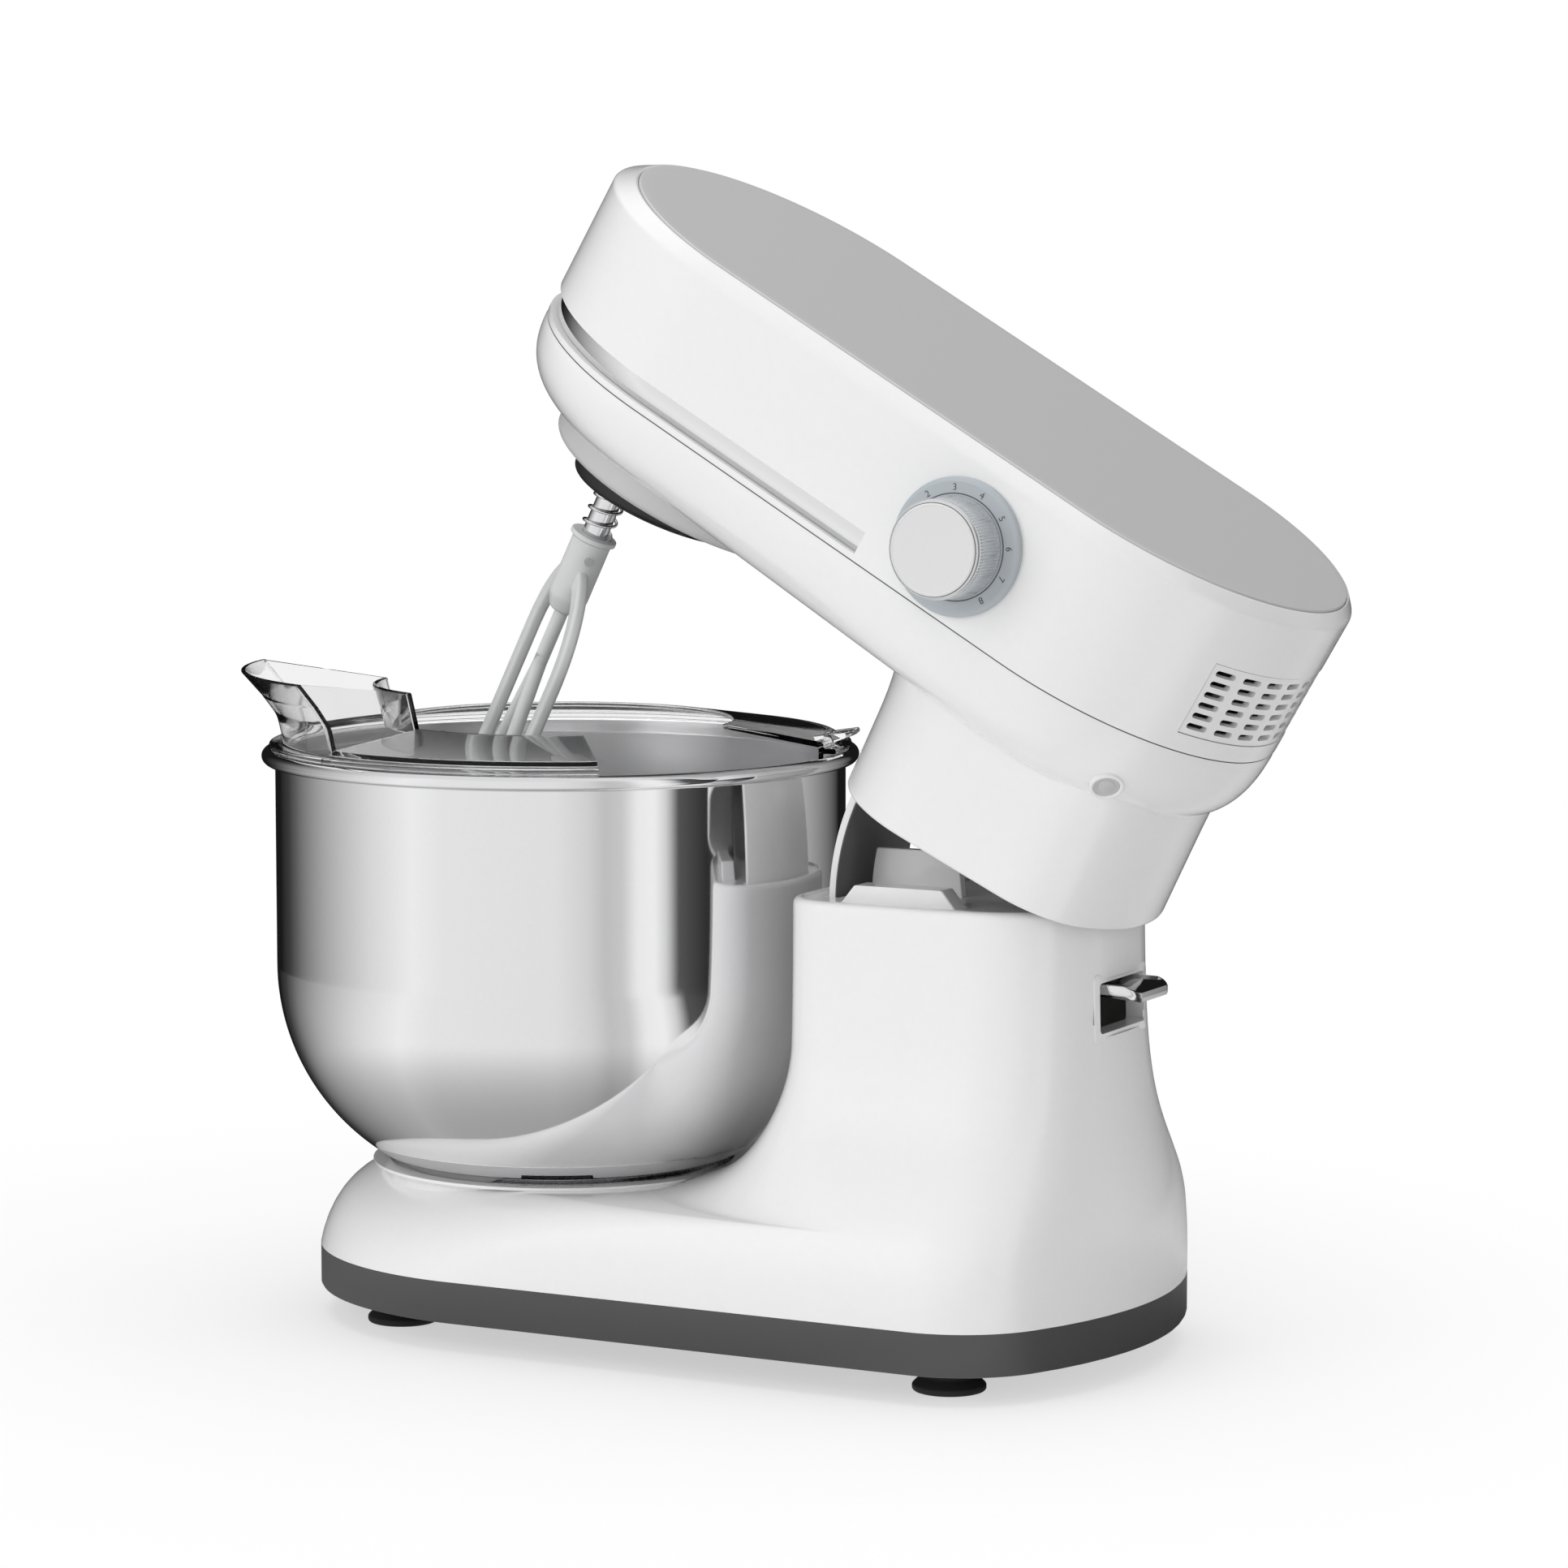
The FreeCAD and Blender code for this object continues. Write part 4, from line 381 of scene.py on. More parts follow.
def column_section(z, shrink=0.0):
    """Section of the column; a large fillet carries its front forward, up to the rim of the bowl's seat."""
    share = flare(z) ** 2
    rear, half, corner, tail = sides(z, shrink)
    climb = min(max(z - DECK_Z, 0) / FILLET_HEIGHT, 1)
    front = COLUMN_FRONT - FILLET_REACH * (1 - sqrt(1 - (1 - climb) ** 2)) + shrink
    nose = COLUMN_NOSE + FLARE_NOSE * share - shrink
    flat = NOSE_FLAT + (COLUMN_HALF - COLUMN_NOSE - NOSE_FLAT) * (1 - share)
    row = plan(z, front, rear, half, nose, flat, corner, tail)
    for p in row:
        reach = hypot(p.x, p.y)
        if reach < SEAT_RIM:
            p.x *= SEAT_RIM / reach
            p.y *= SEAT_RIM / reach
    return row


def base_shell():
    dome = [foot_section(a) for a in spread(0, DOME_END, 26)]
    form = Form().grid(dome)
    form.grid([dome[-1], [polar(SEAT_HOLE, atan2(p.y, p.x), DECK_Z) for p in dome[-1]]])
    edge = COLUMN_EDGE
    heights = [DECK_Z + (SLOT_LOW - DECK_Z) * (k / 30) ** 1.8 for k in range(31)]
    heights += spread(SLOT_LOW, SLOT_HIGH, 4)[1:] + spread(SLOT_HIGH, COLUMN_TOP - edge, 6)[1:]
    rows = [column_section(z) for z in heights]
    for a in spread(0, pi / 2, 6)[1:]:
        row = column_section(COLUMN_TOP, edge * (1 - cos(a)))
        rows.append([Vector((p.x, p.y, COLUMN_TOP - edge * (1 - sin(a)))) for p in row])
    rows += [column_section(COLUMN_TOP, SHELL_WALL), column_section(COLUMN_TOP - 3 * SHELL_WALL, SHELL_WALL)]

    def in_slot(i, k):
        middle = (rows[i][k] + rows[i + 1][(k + 1) % len(rows[i])]) / 2
        return (middle.x > COLUMN_FRONT + COLUMN_HALF and abs(middle.y) < SLOT_HALF
                and SLOT_LOW < middle.z < SLOT_HIGH)

    return form.grid(rows, skip=in_slot)


def slot_frame():
    """Thin frame round the lever's slot, with walls that lead into the column."""
    wall, proud, depth = 1.6, 0.5, 7.0
    rows = []

    def opened(grow, radius):
        half, low, high = SLOT_HALF + grow, SLOT_LOW - grow, SLOT_HIGH + grow
        return rounded([(-half, low, radius), (half, low, radius), (half, high, radius),
                        (-half, high, radius)])

    outline, opening = opened(wall, 2.4), opened(-wall, 1.6)

    def on_wall(point, outward):
        rear, half, corner, tail = sides(point[1], 0.0)
        return Vector((rear - tail + sqrt(tail ** 2 - point[0] ** 2) + outward, point[0], point[1]))

    for line, outward in ((outline, -0.4), (outline, proud * 0.6), (outline, proud), (opening, proud),
                          (opening, proud * 0.4), (opening, -depth)):
        rows.append([on_wall(p, outward) for p in line])
    rows[2] = [a.lerp(b, 0.15) for a, b in zip(rows[2], rows[3])]
    return Form().grid(rows)


def base_tray():
    outline = foot_section(0)
    inner = foot_section(0, SHELL_WALL)
    low = TRAY_TOP - FOOT_HEIGHT

    def lowered(row, drop):
        return [p - Vector((0, 0, drop)) for p in row]

    rows = [lowered(inner, low - SHELL_WALL), inner, outline, lowered(outline, low - 1.2)]
    rows += [lowered(foot_section(0, 0.5), low - 0.3), lowered(foot_section(0, 1.4), low)]
    return Form().solid(rows)


def feet():
    corners = [(0, 1.5, 0), (5.2, 1.5, 0.5), (10.5, 0, 1), (13.7, 0, 1.2), (13.7, 2.4, 1.2),
               (10.5, 5.5, 2), (10.5, FOOT_HEIGHT, 0), (0, FOOT_HEIGHT, 0)]
    for end, x, y in (("front", -43.0, 50.0), ("rear", 198.0, 61.5)):
        for side, sign in (("near", -1), ("far", 1)):
            name = "foot_%s_%s" % (end, side)
            form = spun(corners, segments=64).moved(Matrix.Translation((x, sign * y, 0)))
            piece(name + "_pad", form, name)


piece("shell", base_shell(), "base_shell")
piece("slot_frame", slot_frame(), slot="white_shell", body="base")
piece("tray", base_tray(), "base_tray")
feet()
for kept, width in (("bowl_seat", 0.4), ("column_deck", 0.8), ("hinge_bracket", 0.6), ("hinge_arm", 0.8)):
    soften(frame["nodes"][kept], width)


# Lock lever: a bright rounded tab on a hub
LEVER_X, LEVER_Z, LEVER_REACH, LEVER_HALF, LEVER_THICK = 215.0, 145.0, 252.0, 16.0, 4.0
LEVER_HUB, LEVER_BORE = 4.5, 2.55


def lock_lever():
    room = LEVER_HALF / 4
    form = turned(rounded([(LEVER_BORE, -LEVER_HALF, 0), (LEVER_HUB, -LEVER_HALF, 0.6),
                           (LEVER_HUB, room, 0.6), (LEVER_BORE, room, 0)]), segments=48)
    form.moved(Matrix.Translation((LEVER_X, 0, LEVER_Z)) @ Matrix.Rotation(-pi / 2, 4, "X"))
    start = LEVER_X + 1.4 * LEVER_HUB
    outline = rounded([(-LEVER_HALF, start, 1), (LEVER_HALF, start, 1), (LEVER_HALF, LEVER_REACH, 5),
                       (-LEVER_HALF, LEVER_REACH, 5)], 8)
    low, high = LEVER_Z - LEVER_THICK / 2, LEVER_Z + LEVER_THICK / 2
    rows = []
    edge = ((0.9, 0), (0.25, 0.25), (0, 0.9))
    for draw_in, z in [(e, low + up) for e, up in edge] + [(e, high - up) for e, up in edge[::-1]]:
        ring = []
        for y, x in outline:
            droop = 0.75 * LEVER_THICK * max((x - LEVER_REACH) / (2 * LEVER_THICK) + 1, 0) ** 1.5
            back = draw_in if x > start + LEVER_HUB else 0
            ring.append(Vector((x - back, y * (1 - draw_in / LEVER_HALF), z - droop)))
        rows.append(ring)
    form.solid(rows)
    form.block((LEVER_X, -LEVER_HALF, low), (LEVER_X + 2 * LEVER_HUB, room, high))
    form.block((LEVER_X - LEVER_HUB, -LEVER_HALF / 2, LEVER_Z),
               (LEVER_X - LEVER_HUB / 4, room, LEVER_Z + 3 * LEVER_HUB))
    return form


piece("lever", lock_lever(), "lock_lever")


# Bowl, its foot and the lid
BOWL_RADIUS, BOWL_WALL, BOWL_BOTTOM = 110.75, 1.2, 54.0
BELLY, BELLY_Z = 87.5, 138.2
BEAD_Z, BEAD = 219.36, 2.92


def bowl():
    belly_x = BOWL_RADIUS - BELLY

    def belly(radius, low):
        start = asin((low - BELLY_Z) / radius)
        return [(belly_x + radius * cos(a), BELLY_Z + radius * sin(a)) for a in spread(start, 0, 40)]

    bead_x = BOWL_RADIUS + 0.8 * BEAD
    bead = [(bead_x + BEAD * cos(a), BEAD_Z + BEAD * sin(a)) for a in spread(-2.5, 2.2, 24)]
    outside = [(0, BOWL_BOTTOM)] + belly(BELLY, BOWL_BOTTOM)
    outside += [(BOWL_RADIUS, z) for z in spread(BELLY_Z, BEAD_Z - 2 * BEAD, 6)[1:]] + bead
    inside = belly(BELLY - BOWL_WALL, BOWL_BOTTOM + BOWL_WALL)[::-1]
    inner = BOWL_RADIUS - BOWL_WALL
    inside = [bead[-1], (inner + 0.4, BEAD_Z + 0.7 * BEAD), (inner, BEAD_Z)] + inside
    inside += [(0, BOWL_BOTTOM + BOWL_WALL)]
    form = turned(outside, segments=256, ring=False)
    return turned(inside, segments=256, ring=False, mark=1, form=form)


RING_FLOOR, RING_IN, RING_OUT, FLANGE_OUT, FLANGE_HALF = 52.4, 58.0, 61.0, 65.6, 0.8
FLANGE_Z = BOWL_BOTTOM + 4 * BOWL_WALL
LUG_START, LUG_HALF = -30.0, 12.0


def bowl_foot():
    low, high, neck = FLANGE_Z - FLANGE_HALF, FLANGE_Z + FLANGE_HALF, RING_OUT + 1.6
    form = turned(rounded([(RING_IN, RING_FLOOR, 0.3), (RING_OUT, RING_FLOOR, 0.5), (RING_OUT, low, 0.3),
                           (FLANGE_OUT, low, 0.5), (FLANGE_OUT, high, 0.5), (neck, high, 0.4),
                           (neck, 60.6, 0.3), (RING_IN, 58.6, 0)], 4), segments=192)
    lug = rounded([(59.5, 53, 0), (66.2, 53, 0.4), (66.2, 55.2, 0.4), (59.5, 55.2, 0)], 3)
    for k in range(3):
        middle = LUG_START + 120 * k
        turned(lug, middle - LUG_HALF, middle + LUG_HALF, 192, form=form)
    return form


def band(inner, outer, low, high, start=0.0, end=360.0, segments=192):
    """Plain ring, or a part of one."""
    return turned([(inner, low), (outer, low), (outer, high), (inner, high)], start, end, segments)


# Sizes of painted shade: a black ring in the gap under the bowl's foot, and a black plate where the bayonet's
# window is in shade.
FOOT_LOW, FOOT_SHADE_OUT = 56.0, 61.5
FOOT_TOP = FLANGE_Z - 0.85
WINDOW_SHADE_IN, WINDOW_SHADE_OUT, WINDOW_SHADE_LOW = 66.6, 67.6, 52.2
WINDOW_SHADE_START, WINDOW_SHADE_END = -74.5, -50.5

LID_REST = BEAD_Z + BEAD + 0.3
LID_SHOULDER = LID_REST + 4.4
LID_BROW = LID_SHOULDER + 6.0
LID_RADIUS, LID_OPENING, LID_WALL = 108.0, 67.0, 2.0
CHUTE_START, CHUTE_END = -168.0, -113.0
CHUTE_HEIGHT, CHUTE_FLARE, CHUTE_INNER = 26.0, 16.0, 14.0
# The ring is open between the gap's bearings, and the finger tab starts where it ends.
GAP_START, GAP_END, TAB_END, TAB_REACH = -53.0, 8.0, 20.0, 117.0


def splash_lid():
    """Open ring that rests on the bead, with a filling chute and a finger tab."""
    form = Form()
    w = LID_WALL
    rim = [(LID_RADIUS - w, LID_REST - 6, 0.5), (LID_RADIUS, LID_REST - 6, 0.5), (LID_RADIUS, LID_REST, 0.4),
           (LID_RADIUS + 5, LID_REST, 0.6), (LID_RADIUS + 5, LID_REST + w, 0.8),
           (LID_RADIUS, LID_REST + w, 0.8)]
    ring = rim + [(LID_RADIUS, LID_SHOULDER, 1.6), (LID_OPENING, LID_BROW, 0.8),
                  (LID_OPENING, LID_BROW - w, 0.6), (LID_RADIUS - w, LID_SHOULDER - w, 1.0)]
    turn = degrees(w / LID_RADIUS)
    turned(rounded(ring, 5), GAP_END, CHUTE_START + 360, 240, form=form)
    turned(rounded(ring, 5), CHUTE_END, GAP_START, 240, form=form)
    slope = (LID_BROW - LID_SHOULDER) / (LID_RADIUS - LID_OPENING)
    lip = [(LID_RADIUS, LID_SHOULDER), (LID_RADIUS + CHUTE_FLARE / 8, LID_SHOULDER + CHUTE_HEIGHT / 3),
           (LID_RADIUS + CHUTE_FLARE / 2, LID_SHOULDER + 0.65 * CHUTE_HEIGHT),
           (LID_RADIUS + CHUTE_FLARE, LID_SHOULDER + CHUTE_HEIGHT)]
    outer = rim + [(r, z, 12) for r, z in lip[:3]] + [(*lip[3], 0.8), (lip[3][0] - w, lip[3][1], 0.8)]
    outer += [(r - w, z, 12) for r, z in lip[2::-1]]
    turned(rounded(outer, 5), CHUTE_START, CHUTE_END, 240, form=form)
    back = LID_OPENING + 0.3 * CHUTE_INNER
    top = LID_BROW + CHUTE_INNER
    low = LID_BROW - w * slope
    wall = [(LID_OPENING, low - w, 0.5), (back, top, 0.8), (back + w, top, 0.8),
            (LID_OPENING + w, low - w, 0.5)]
    turned(rounded(wall, 4), CHUTE_START, CHUTE_END, 240, form=form)
    web = rounded([(LID_OPENING + 1, LID_BROW - w, 0.3), (back + 1, top, 1.5)] + [(*lip[3], 1.0)] +
                  [(r, z, 6) for r, z in lip[2:0:-1]] + [(LID_RADIUS - 0.5, LID_SHOULDER - w, 0.3)], 4)
    turned(web, CHUTE_END - turn, CHUTE_END, 720, form=form)
    turned(web, CHUTE_START, CHUTE_START + turn, 720, form=form)
    tab = rounded([(LID_RADIUS - w, LID_SHOULDER - w, 0), (TAB_REACH, LID_SHOULDER + w, 0.9),
                   (TAB_REACH, LID_SHOULDER + 2 * w, 0.9), (LID_RADIUS - 2 * w, LID_SHOULDER + w, 0)], 4)
    return turned(tab, GAP_END, TAB_END, 240, form=form)


piece("mixing_bowl", bowl(), "bowl", look=[LOOKS["bowl_steel"], steel_brushed])
piece("bowl_ring", bowl_foot(), "bowl_foot", slot="steel")
# Painted shade: a black ring in the gap under the foot's flange, and a black curved plate standing in the seat at
# the front, where the bayonet's window is in shade
piece("foot_gap_shade", band(FOOT_SHADE_OUT - 0.9, FOOT_SHADE_OUT, FOOT_LOW, FOOT_TOP), look=ink_and_painted_shade,
      slot="black_plastic", body="bowl")
piece("bayonet_window_shade",
      band(WINDOW_SHADE_IN, WINDOW_SHADE_OUT, WINDOW_SHADE_LOW, FOOT_TOP, WINDOW_SHADE_START, WINDOW_SHADE_END), look=ink_and_painted_shade,
      slot="black_plastic", body="base")
piece("lid", splash_lid(), "splash_lid", sharp=50)


# Head covers, drawn along the head
COVER_FRONT, COVER_REAR, COVER_RADIUS = 8.9, 179.9, 79.0
COVER_SEAM, COVER_SHOULDER, COVER_TOP, COVER_WALL = 25.5, 82.7, 88.0, 3.0
PANEL_FRONT, PANEL_RADIUS, PANEL_THICKNESS = 13.0, 74.3, 2.2
TRIM_LOW, TRIM_HIGH, TRIM_END, TRIM_DEPTH = 28.0, 37.0, 112.4, 4.0
VENT_ANGLE, VENT_LOW, VENT_HIGH = 38.0, 32.7, 61.4
SEAM_GAP = 0.4
FIT = 0.3


def stations():
    """Places round the head's outline: the rear arc, one side, the front arc and the other side."""
    window = VENT_ANGLE + degrees(FIT / COVER_RADIUS)
    rear = spread(-90, -window, 16)[:-1] + spread(-window, window, 32) + spread(window, 90, 16)[1:]
    end = (TRIM_END - COVER_FRONT) / (COVER_REAR - COVER_FRONT)
    along = sorted(set(spread(0, 1, 8)[1:-1] + [end + 0.0001, end - 0.0001]))
    places = [("rear", a) for a in rear]
    places += [("far", t) for t in along[::-1]]
    places += [("front", a) for a in spread(90, 270, 64)]
    places += [("near", t) for t in along]
    return places


def trimmed(place):
    """Whether the trim strip passes a place."""
    return place[0] == "front" or (place[0] in ("near", "far")
                                   and COVER_FRONT + (COVER_REAR - COVER_FRONT) * place[1] < TRIM_END)


def around(place, radius, z, front=COVER_FRONT, rear=COVER_REAR):
    """Point of the round-ended outline of a radius at one of the places."""
    kind, value = place
    if kind in ("rear", "front"):
        return polar(radius, radians(value), z, rear if kind == "rear" else front)
    return Vector((front + (rear - front) * value, radius if kind == "far" else -radius, z))


def upper_cover():
    lip = PANEL_RADIUS + FIT
    ledge = PANEL_RADIUS - 3.3
    window_low, window_high = VENT_LOW - FIT, VENT_HIGH + FIT
    inner = COVER_RADIUS - COVER_WALL
    thick = COVER_RADIUS - TRIM_DEPTH - COVER_WALL
    step = TRIM_HIGH + COVER_WALL
    floor = COVER_RADIUS - TRIM_DEPTH
    outline = rounded([
        (COVER_RADIUS, COVER_SEAM, 0.5), (COVER_RADIUS, TRIM_LOW, 0), (floor, TRIM_LOW, 0),
        (floor, window_low, 0), (floor, TRIM_HIGH, 0), (COVER_RADIUS, TRIM_HIGH, 0),
        (COVER_RADIUS, window_high, 0),
        (COVER_RADIUS, COVER_SHOULDER, 3.0), (lip, COVER_TOP, 0.8), (lip, COVER_TOP - PANEL_THICKNESS, 0),
        (ledge, COVER_TOP - PANEL_THICKNESS, 0), (ledge, COVER_TOP - PANEL_THICKNESS - COVER_WALL, 0),
        (inner, COVER_TOP - PANEL_THICKNESS - COVER_WALL, 0), (inner, window_high, 0), (inner, step, 0),
        (thick, step, 0), (thick, window_low, 0), (thick, COVER_SEAM, 0)])
    places = stations()
    rows = []
    for place in places:
        row = []
        for r, z in outline:
            if not trimmed(place) and floor <= r and TRIM_LOW <= z <= TRIM_HIGH:
                r = COVER_RADIUS
            share = min(max((COVER_RADIUS - r) / (COVER_RADIUS - lip), 0), 1) if z > COVER_SHOULDER - 4 else 0
            row.append(around(place, r, z, COVER_FRONT + (PANEL_FRONT - COVER_FRONT) * share))
        rows.append(row)
    limit = VENT_ANGLE + degrees(FIT / COVER_RADIUS) + 0.01
    inside = [i for i, place in enumerate(places) if place[0] == "rear" and abs(place[1]) < limit]
    first, last = inside[0], inside[-1]

    def in_window(i, k):
        low, high = sorted((outline[k][1], outline[(k + 1) % len(outline)][1]))
        return first <= i < last and window_low - 0.01 <= low and high <= window_high + 0.01

    form = Form().grid(rows, loop=True, skip=in_window)
    hole = [k for k, (r, z) in enumerate(outline) if window_low - 0.01 <= z <= window_high + 0.01]
    for i in (first, last):
        form.cap([rows[i][k] for k in hole])
    for z in (window_low, window_high):
        ends = [k for k in hole if abs(outline[k][1] - z) < 0.01]
        form.grid([[rows[i][ends[0]], rows[i][ends[-1]]] for i in range(first, last + 1)], ring=False)
    return form


def top_panel():
    low = COVER_TOP - PANEL_THICKNESS
    outline = rounded([(PANEL_RADIUS - 4, low, 0), (PANEL_RADIUS, low, 0.2), (PANEL_RADIUS, COVER_TOP, 0.6),
                       (PANEL_RADIUS - 4, COVER_TOP, 0)], 4, closed=False)
    rows = [[around(place, r, z, PANEL_FRONT) for r, z in outline] for place in stations()]
    form = Form().grid(rows, ring=False, loop=True)
    form.cap([row[0] for row in rows])
    form.cap([row[-1] for row in rows])
    return form


def trim_strip():
    """Slightly crowned bright band in the groove round the front."""
    inner = COVER_RADIUS - TRIM_DEPTH + 0.05
    low, high = TRIM_LOW + FIT, TRIM_HIGH - FIT
    outline = [(inner, low), (inner + 0.7, low)]
    outline += [(inner + 0.7 + 0.6 * sin(pi * t), low + (high - low) * t) for t in spread(0, 1, 12)[1:-1]]
    outline += [(inner + 0.7, high), (inner, high)]
    return Form().solid([[around(place, r, z) for r, z in outline] for place in stations() if trimmed(place)])


def seam_gasket():
    """Dark strip inside the seam between the covers: painted shade that darkens the gap."""
    middle = COVER_SEAM - SEAM_GAP / 2
    outline = [(COVER_RADIUS - 1.8, middle - 0.6), (COVER_RADIUS - 0.35, middle - 0.19),
               (COVER_RADIUS - 0.35, middle + 0.19), (COVER_RADIUS - 1.8, middle + 0.6)]
    return Form().grid([[around(place, r, z) for r, z in outline] for place in stations()], loop=True)


def vent_grille():
    """Curved plate with rows of round-ended slots."""
    form = Form()
    outer, inner = COVER_RADIUS - FIT, COVER_RADIUS - COVER_WALL
    pitch_angle, pitch = 9.5, 4.4
    columns = 2 * int(VENT_ANGLE / pitch_angle)
    rows = int((VENT_HIGH - VENT_LOW) / pitch)
    half_length, half_height = 4.6, 1.2

    def at(angle, z, radius):
        return polar(radius, radians(angle), z, COVER_REAR)

    low_z = (VENT_LOW + VENT_HIGH - rows * pitch) / 2
    high_z = low_z + rows * pitch
    wide = columns * pitch_angle / 2
    arc = degrees(1 / COVER_RADIUS)
    slot, cell = [], []
    for n in range(24):
        t = 2 * pi * n / 24
        c, s = round(cos(t), 6), round(sin(t), 6)
        shift = (half_length - half_height) * ((c > 0) - (c < 0))
        slot.append((shift + half_height * c, half_height * s))
        grow = 1 / max(abs(c), abs(s))
        cell.append((c * grow * pitch_angle / 2 / arc, s * grow * pitch / 2))
    for i in range(columns):
        for k in range(rows):
            middle = (i + 0.5) * pitch_angle - wide
            height = low_z + (k + 0.5) * pitch
            form.grid([[at(middle + u * arc, height + v, radius) for u, v in line]
                       for line, radius in ((cell, outer), (slot, outer), (slot, inner), (cell, inner))])
    # Plain strips between the slots' field and the plate's edges, where there are any
    end = VENT_ANGLE
    for left, right, low, high in ((-end, end, VENT_LOW, low_z), (-end, end, high_z, VENT_HIGH),
                                   (-end, -wide, low_z, high_z), (wide, end, low_z, high_z)):
        if high - low >= 0.05 and right - left >= 0.01:
            form.grid([[at(angle, low, outer), at(angle, high, outer), at(angle, high, inner),
                        at(angle, low, inner)]
                       for angle in spread(left, right, max(int((right - left) / 2), 1))])
    return form


BELLY_DEPTH, BELLY_INSET, BELLY_DROP = 25.1, 21.0, 9.0
HOUSING_X, HOUSING_HOLE = 8.0, 56.3


def belly_tilt(step):
    """Angle by which a section of the lower cover drops towards the rear."""
    return atan2(BELLY_DROP * step, COVER_REAR - COVER_FRONT + 2 * COVER_RADIUS)


def belly_row(step, shrink=0.0):
    """Section of the lower cover, which draws in towards the bottom and drops towards the rear."""
    inset = BELLY_INSET * (1 - sqrt(max(1 - step ** 2.6, 0))) + shrink
    z = COVER_SEAM - SEAM_GAP - BELLY_DEPTH * step
    drop = Matrix.Rotation(belly_tilt(step), 4, "Y")
    pivot = Vector((COVER_FRONT - COVER_RADIUS, 0, 0))
    row = []
    for place in stations():
        flat = around(place, COVER_RADIUS - inset, 0)
        row.append(pivot + drop @ (flat - pivot) + Vector((0, 0, z)))
    return row


NECK_BOTTOM, NECK_HEIGHT, NECK_FRONT, NECK_REAR, NECK_HALF = 176.0, 74.0, 126.0, 247.0, 56.0
NECK_NOSE, NECK_CORNER, NECK_TAIL = 40.0, 32.0, 90.0
NECK_FLARE_FRONT, NECK_FLARE_REAR, NECK_FLARE_SIDE = 29.0, 6.0, 8.0


def neck_row(step, shrink=0.0, z=None):
    spread_out = step ** 7
    side = NECK_FLARE_SIDE * spread_out
    height = NECK_BOTTOM + NECK_HEIGHT * step if z is None else z
    return plan(height, NECK_FRONT - NECK_FLARE_FRONT * spread_out + shrink,
                NECK_REAR + NECK_FLARE_REAR * spread_out - shrink, NECK_HALF + side - shrink,
                NECK_NOSE - shrink, NECK_HALF - NECK_NOSE + side, NECK_CORNER - shrink, NECK_TAIL - shrink)


def lower_cover():
    """Belly along the head and neck under it, in the frame of the closed head."""
    steps = [1 - (1 - t) ** 2 for t in spread(0, 1, 28)]
    rim = [p + Vector((0, 0, -0.45)) for p in belly_row(0, COVER_WALL)]
    rows = [rim, belly_row(0, COVER_WALL), belly_row(0, 0.3)] + [belly_row(s) for s in steps[1:]]
    form = Form().grid(rows)
    bottom = rows[-1]
    hole = []
    for p in bottom:
        edge = polar(HOUSING_HOLE, atan2(p.y, p.x - HOUSING_X), 0, HOUSING_X)
        edge.z = bottom[0].z + (bottom[0].x - edge.x) * tan(belly_tilt(1))
        hole.append(edge)
    form.grid([bottom, hole, [p + Vector((0, 0, COVER_WALL)) for p in hole]])
    form.moved(Matrix.Translation((0, 0, HEAD_Z)) @ Matrix.Rotation(HEAD_SLOPE, 4, "Y"))
    edge = COVER_WALL / 2
    wall = [neck_row(s, COVER_WALL) for s in spread(0.9, 0.03, 10)]
    for a in spread(0, pi, 8):
        wall.append(neck_row(0, edge + edge * cos(a), NECK_BOTTOM + edge - edge * sin(a)))
    wall += [neck_row(s) for s in spread(0.03, 0.6, 8) + spread(0.6, 1.0, 24)[1:]]
    return form.grid(wall)


SHROUD_RADIUS, SHROUD_WALL, SHROUD_HALF = 94.0, 3.5, 30.0
SHROUD_TOP, SHROUD_END = -5.0, 31.0
WEB_RADIUS, WEB_LOW, WEB_HIGH = 86.0, 1.4, 13.0
WEB_BACK_LOW, WEB_BACK_HIGH, WEB_NEAR, WEB_FAR = 178.0, 176.0, -10.0, -6.0
SCREW_PLACE, SCREW_AXIS = (256.4, -54.9, 224.9), Vector((0.37, -0.65, -0.66))


def neck_shroud():
    """Curved plate about the hinge that closes the gap in front of the neck; its inner side is painted dark, as
    painted shade on the concave side.
    """
    inner, outer, half = SHROUD_RADIUS - SHROUD_WALL, SHROUD_RADIUS, SHROUD_HALF
    section = rounded([(inner, -half, 0.6), (outer, -half, 1.0), (outer, half, 1.0), (inner, half, 0.6)], 4)
    form = Form().solid([[Vector((HINGE.x - r * cos(a), y, HINGE.z - r * sin(a))) for r, y in section]
                         for a in map(radians, spread(SHROUD_TOP, SHROUD_END, 36))])
    # Faces on the inner side take the second look: painted shade on the concave side.
    middle = SHROUD_RADIUS - SHROUD_WALL / 2
    reach = [hypot(p.x - HINGE.x, p.z - HINGE.z) for p in form.points]
    form.marks = [int(max(reach[i] for i in face) < middle) for face in form.faces]
    return form


def hinge_web():
    """Light web on the deck behind the shroud, with its front edge round the hinge."""
    edge = [(HINGE.x - WEB_RADIUS * cos(a), HINGE.z + WEB_RADIUS * sin(a))
            for a in spread(radians(WEB_LOW), radians(WEB_HIGH), 12)]
    outline = edge + [(WEB_BACK_HIGH, edge[-1][1]), (WEB_BACK_LOW, edge[0][1])]
    return Form().solid([[Vector((x, y, z)) for x, z in outline] for y in (WEB_NEAR, WEB_FAR)])


